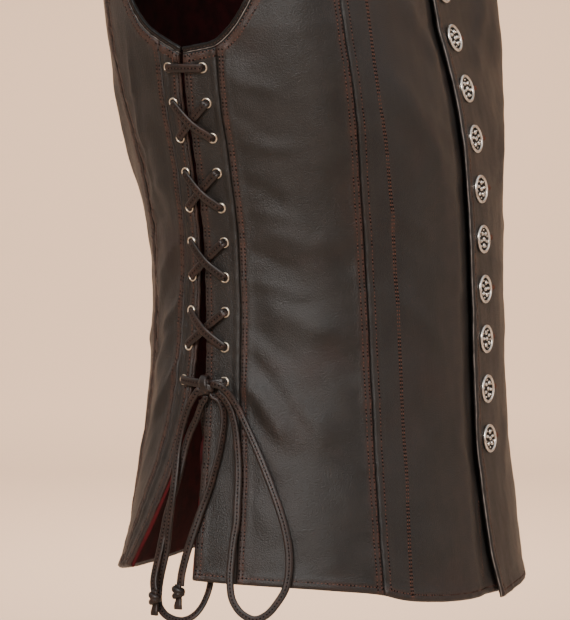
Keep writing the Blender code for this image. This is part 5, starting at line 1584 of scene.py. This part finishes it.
def free_strand(name, side, rows):
    """A hanging strand of the bow, from the knot down along its rows."""
    centre = place(*on_side(BOW_KNOT, side))
    rows = on_side(rows, side)
    first = place(*rows[0])
    way = unit(first - centre)
    start = centre + way * (1 / np.linalg.norm(way / np.array(BOW_KNOT_RADII)) + BOW_KNOT_GAP)
    points, normals = along_rows(rows, LACE_STEP)
    lead = np.linspace(0, 1, max(3, round(np.linalg.norm(first - start) / LACE_STEP)))[:-1, None]
    points = np.concatenate([start + (first - start) * lead, points])
    normals = np.concatenate([np.repeat(normals[:1], len(lead), axis=0), normals])
    share = np.linspace(0, 1, len(points))
    turns = TURN_OF_STRANDS[name]
    turn = smooth(share, turns) * (-1 if side == "left" else 1)
    made = joined(f"strand_{name}_{side}", lace_shapes(
        points, normals, turn, STRAND_WIDTH * smooth(share, turns, 2)))
    dressed(made, f"lace_{name}_{side}")


for vest_side in ("right", "left"):
    bow = on_side(BOW_KNOT, vest_side)
    at_bow = (*bow[:2], SIDE_LACE_AT_KNOT)
    columns = [eyelet_places(rows, vest_side) for rows in (FRONT_EYELETS, BACK_EYELETS)]
    points, normals = along_rows([at_bow, *lacing_rows(*columns, bow[:2]), at_bow], SIDE_LACE_STEP)
    shapes = lace_shapes(points, normals, width=SIDE_LACE_WIDTH)
    shapes += bow_knot_shapes(place(*bow), outward(*bow[:2]))
    dressed(joined(f"lacing_{vest_side}", shapes), f"side_lace_{vest_side}")
    for name, row, rows in (("front", FRONT_END_KNOT, FRONT_END), ("back", BACK_END_KNOT, BACK_END)):
        row = on_side(row, vest_side)
        knot = joined(f"tied_end_{name}_{vest_side}", end_knot_shapes(place(*row), outward(*row[:2])))
        dressed(knot, f"end_knot_{name}_{vest_side}")
        free_strand(f"{name}_end", vest_side, rows)
    free_strand("front_loop", vest_side, FRONT_LOOP)
    free_strand("back_loop", vest_side, BACK_LOOP)


# The buttons: twelve cast buttons of antiqued silver, 20 mm across, with a rolled rim round a sunk and
# blackened ground and a raised rosette. Each goes through a bound buttonhole in the lap.
BUTTON_COUNT = 12
BUTTON_HALF_HEIGHT = 0.0022
BUTTON_LOW_LEVEL = 0.0945
BUTTON_PITCH = 0.0352
BUTTON_GROUND = ((0.0002, 0.0008), (0.0060, 0.0007), (0.0086, 0.0007), (0.0092, 0.0003), (0.0060, -0.0001),
                 (0.0034, -0.0002), (0.0030, -0.0006), (0.0002, -0.0006))
BUTTON_TILT = math.radians(7)
RIM_RADIUS = 0.0090
RIM_HALF_WIDTH = 0.00112
RIM_HEIGHT = 0.0014
SILVER = (0.84, 0.79, 0.72)
silver = metal_finish("button_silver", SILVER, (0.38, 0.33, 0.28), 0.24, 260.0)
# The button's sunk ground is its own antiqued black.
blackened_and_painted_shade = Finish("button_ground", 0.55, metallic=0.4)
blackened_and_painted_shade = blackened_and_painted_shade.feed(Base_Color=blackened_and_painted_shade.mix(
    blackened_and_painted_shade.noise(500.0), (0.006, 0.005, 0.0045), (0.022, 0.018, 0.015))).material

# The rosette's beads: distance from the middle, height, and half sizes outwards, across and up
MIDDLE_BEAD = (0.0, 0.0014, (0.0016, 0.0016, 0.0013))
PETAL_BEADS = ((0.0046, 0.0012, (0.0018, 0.0012, 0.0015)), (0.0064, 0.0010, (0.0008, 0.0008, 0.0010)))
PETALS = 10

# How far each button was turned when it was sewn on, in degrees, from the lowest up
BUTTON_TURNS = (17, -8, 31, 4, -21, 12, 26, -14, 7, -29, 19, -3)

# The bar of thread beside each button, which closes the end of its buttonhole: how far from the button
# its stitches start and stop, how close they lie, and their size against a plain stitch
BAR_START = 0.0180
BAR_STOP = 0.0265
BAR_PITCH = 0.00085
BAR_STITCH_SCALE = np.array([2.4, 1.6, 2.0])
BAR_RAY = (0.010, 0.03)


def button_shapes(centre, normal, spin):
    """A cast button: its sunk ground, its rolled rim and its rosette."""
    aside = unit(np.cross((0.0, 0.0, 1.0), normal))
    up = np.cross(normal, aside)
    rim = [(RIM_RADIUS + x, RIM_HEIGHT + y) for x, y in oval(RIM_HALF_WIDTH, RIM_HALF_WIDTH, 10)]
    shapes = [(*turned_ring(BUTTON_GROUND, centre, normal, 32, False), blackened_and_painted_shade),
              (*turned_ring(rim, centre, normal, 40, True), silver)]
    beads = [(0.0, MIDDLE_BEAD)]
    beads += [(spin + k * 2 * math.pi / PETALS, PETAL_BEADS[k % 2]) for k in range(PETALS)]
    for turn, (radius, height, radii) in beads:
        out = aside * math.cos(turn) + up * math.sin(turn)
        at = centre + out * radius + normal * height
        shapes.append((*bead(at, radii, (out, np.cross(normal, out), normal)), silver))
    return shapes


bars = []
for number in range(BUTTON_COUNT):
    name = f"button_{number + 1}"
    low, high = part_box(name)
    level = BUTTON_LOW_LEVEL + BUTTON_PITCH * number
    normal = outward(0.0, level)
    foot = np.array((low + high) / 2) - normal * BUTTON_HALF_HEIGHT
    tilted = np.array(Matrix.Rotation(-BUTTON_TILT, 3, "Z") @ Vector(normal))
    spin = math.radians(BUTTON_TURNS[number])
    dressed(joined(f"cast_{name}", button_shapes(foot, tilted, spin)), name)
    for shift in np.arange(BAR_START, BAR_STOP, BAR_PITCH):
        beside_button = foot + np.cross((0.0, 0.0, 1.0), normal) * shift
        hit = hit_on("front_centre_left", beside_button, normal, *BAR_RAY)
        if hit:
            bars.append((*laid_out(stitch_shape * BAR_STITCH_SCALE, ring_faces(3, 4), np.array([hit]),
                                   np.array([[0.0, 0.0, 1.0]]), np.array([normal])), threads["orange"]))
joined("buttonhole_bars", bars)


# The floor is plain and pale, and runs up smoothly into a plain backdrop on every side.
# The light is soft and comes mostly from the camera's own side, high and a little to its left.
FLOOR_DEPTH = -1.45
FLOOR_COLOUR = (0.780, 0.615, 0.492)
BACKDROP_POWER = 150.0
BACKDROP_LIGHT_COLOUR = (1.0, 0.78, 0.58)
VEST_MIDDLE = Vector((0.0, 0.0, -0.33))
bowl_profile = ((0.0, FLOOR_DEPTH), (6.5, FLOOR_DEPTH), (8.2, FLOOR_DEPTH + 0.25), (9.6, FLOOR_DEPTH + 1.2),
                (10.2, FLOOR_DEPTH + 3.0), (10.2, FLOOR_DEPTH + 8.0))
bowl_mesh = bpy.data.meshes.new("floor")
turns = 96
bowl_line = spaced([(r, z) for r, z in bowl_profile], np.linspace(0, 1, 60))
bowl_points = [(r * math.cos(t), r * math.sin(t), z) for r, z in bowl_line[1:]
               for t in round_turns(turns)]
bowl_faces = [[k * turns + j, k * turns + (j + 1) % turns,
               (k + 1) * turns + (j + 1) % turns, (k + 1) * turns + j]
              for k in range(len(bowl_line) - 2) for j in range(turns)] + [list(range(turns))[::-1]]
bowl_mesh.from_pydata(bowl_points, [], bowl_faces)
bowl_mesh.shade_smooth()
floor_finish = Finish("floor_plain", 0.9, specular=0.1)
floor_finish.feed(Base_Color=FLOOR_COLOUR)
bowl_mesh.materials.append(floor_finish.material)
linked("floor", bowl_mesh)


def square_light(name, location, target, size, power, colour):
    """A square area light aimed at a point."""
    lamp = bpy.data.lights.new(name, "AREA")
    lamp.shape, lamp.size, lamp.energy, lamp.color = "SQUARE", size, power, colour
    holder = linked(name, lamp)
    holder.location = location
    holder.rotation_mode = "QUATERNION"
    holder.rotation_quaternion = (target - holder.location).to_track_quat("-Z", "Y")
    return lamp


for name, azimuth, height, distance, size, power, colour in (
    ("key", -86.0, 1.05, 2.6, 1.0, 82.0, (1.0, 0.97, 0.94)),
    ("fill", 8.0, 0.8, 3.4, 2.6, 26.0, (0.94, 0.97, 1.0)),
    ("back", 168.0, 1.0, 3.4, 2.4, 12.0, (1.0, 0.97, 0.94)),
):
    turn = math.radians(azimuth)
    stands_at = Vector((distance * math.sin(turn), -distance * math.cos(turn), height))
    square_light(name, stands_at, VEST_MIDDLE, size, power, colour)
backdrop_light = square_light("backdrop", -view_back * 3.0 + Vector((0.0, 0.0, 0.8)),
                              -view_back * 9.0 + Vector((0.0, 0.0, -0.9)), 2.4, BACKDROP_POWER,
                              BACKDROP_LIGHT_COLOUR)
backdrop_light.spread = math.radians(80)
world = bpy.data.worlds.new("world")
bpy.context.scene.world = world
world.use_nodes = True
sky = world.node_tree.nodes["Background"]
sky.inputs["Color"].default_value = (0.96, 0.98, 1.0, 1.0)
sky.inputs["Strength"].default_value = 0.8
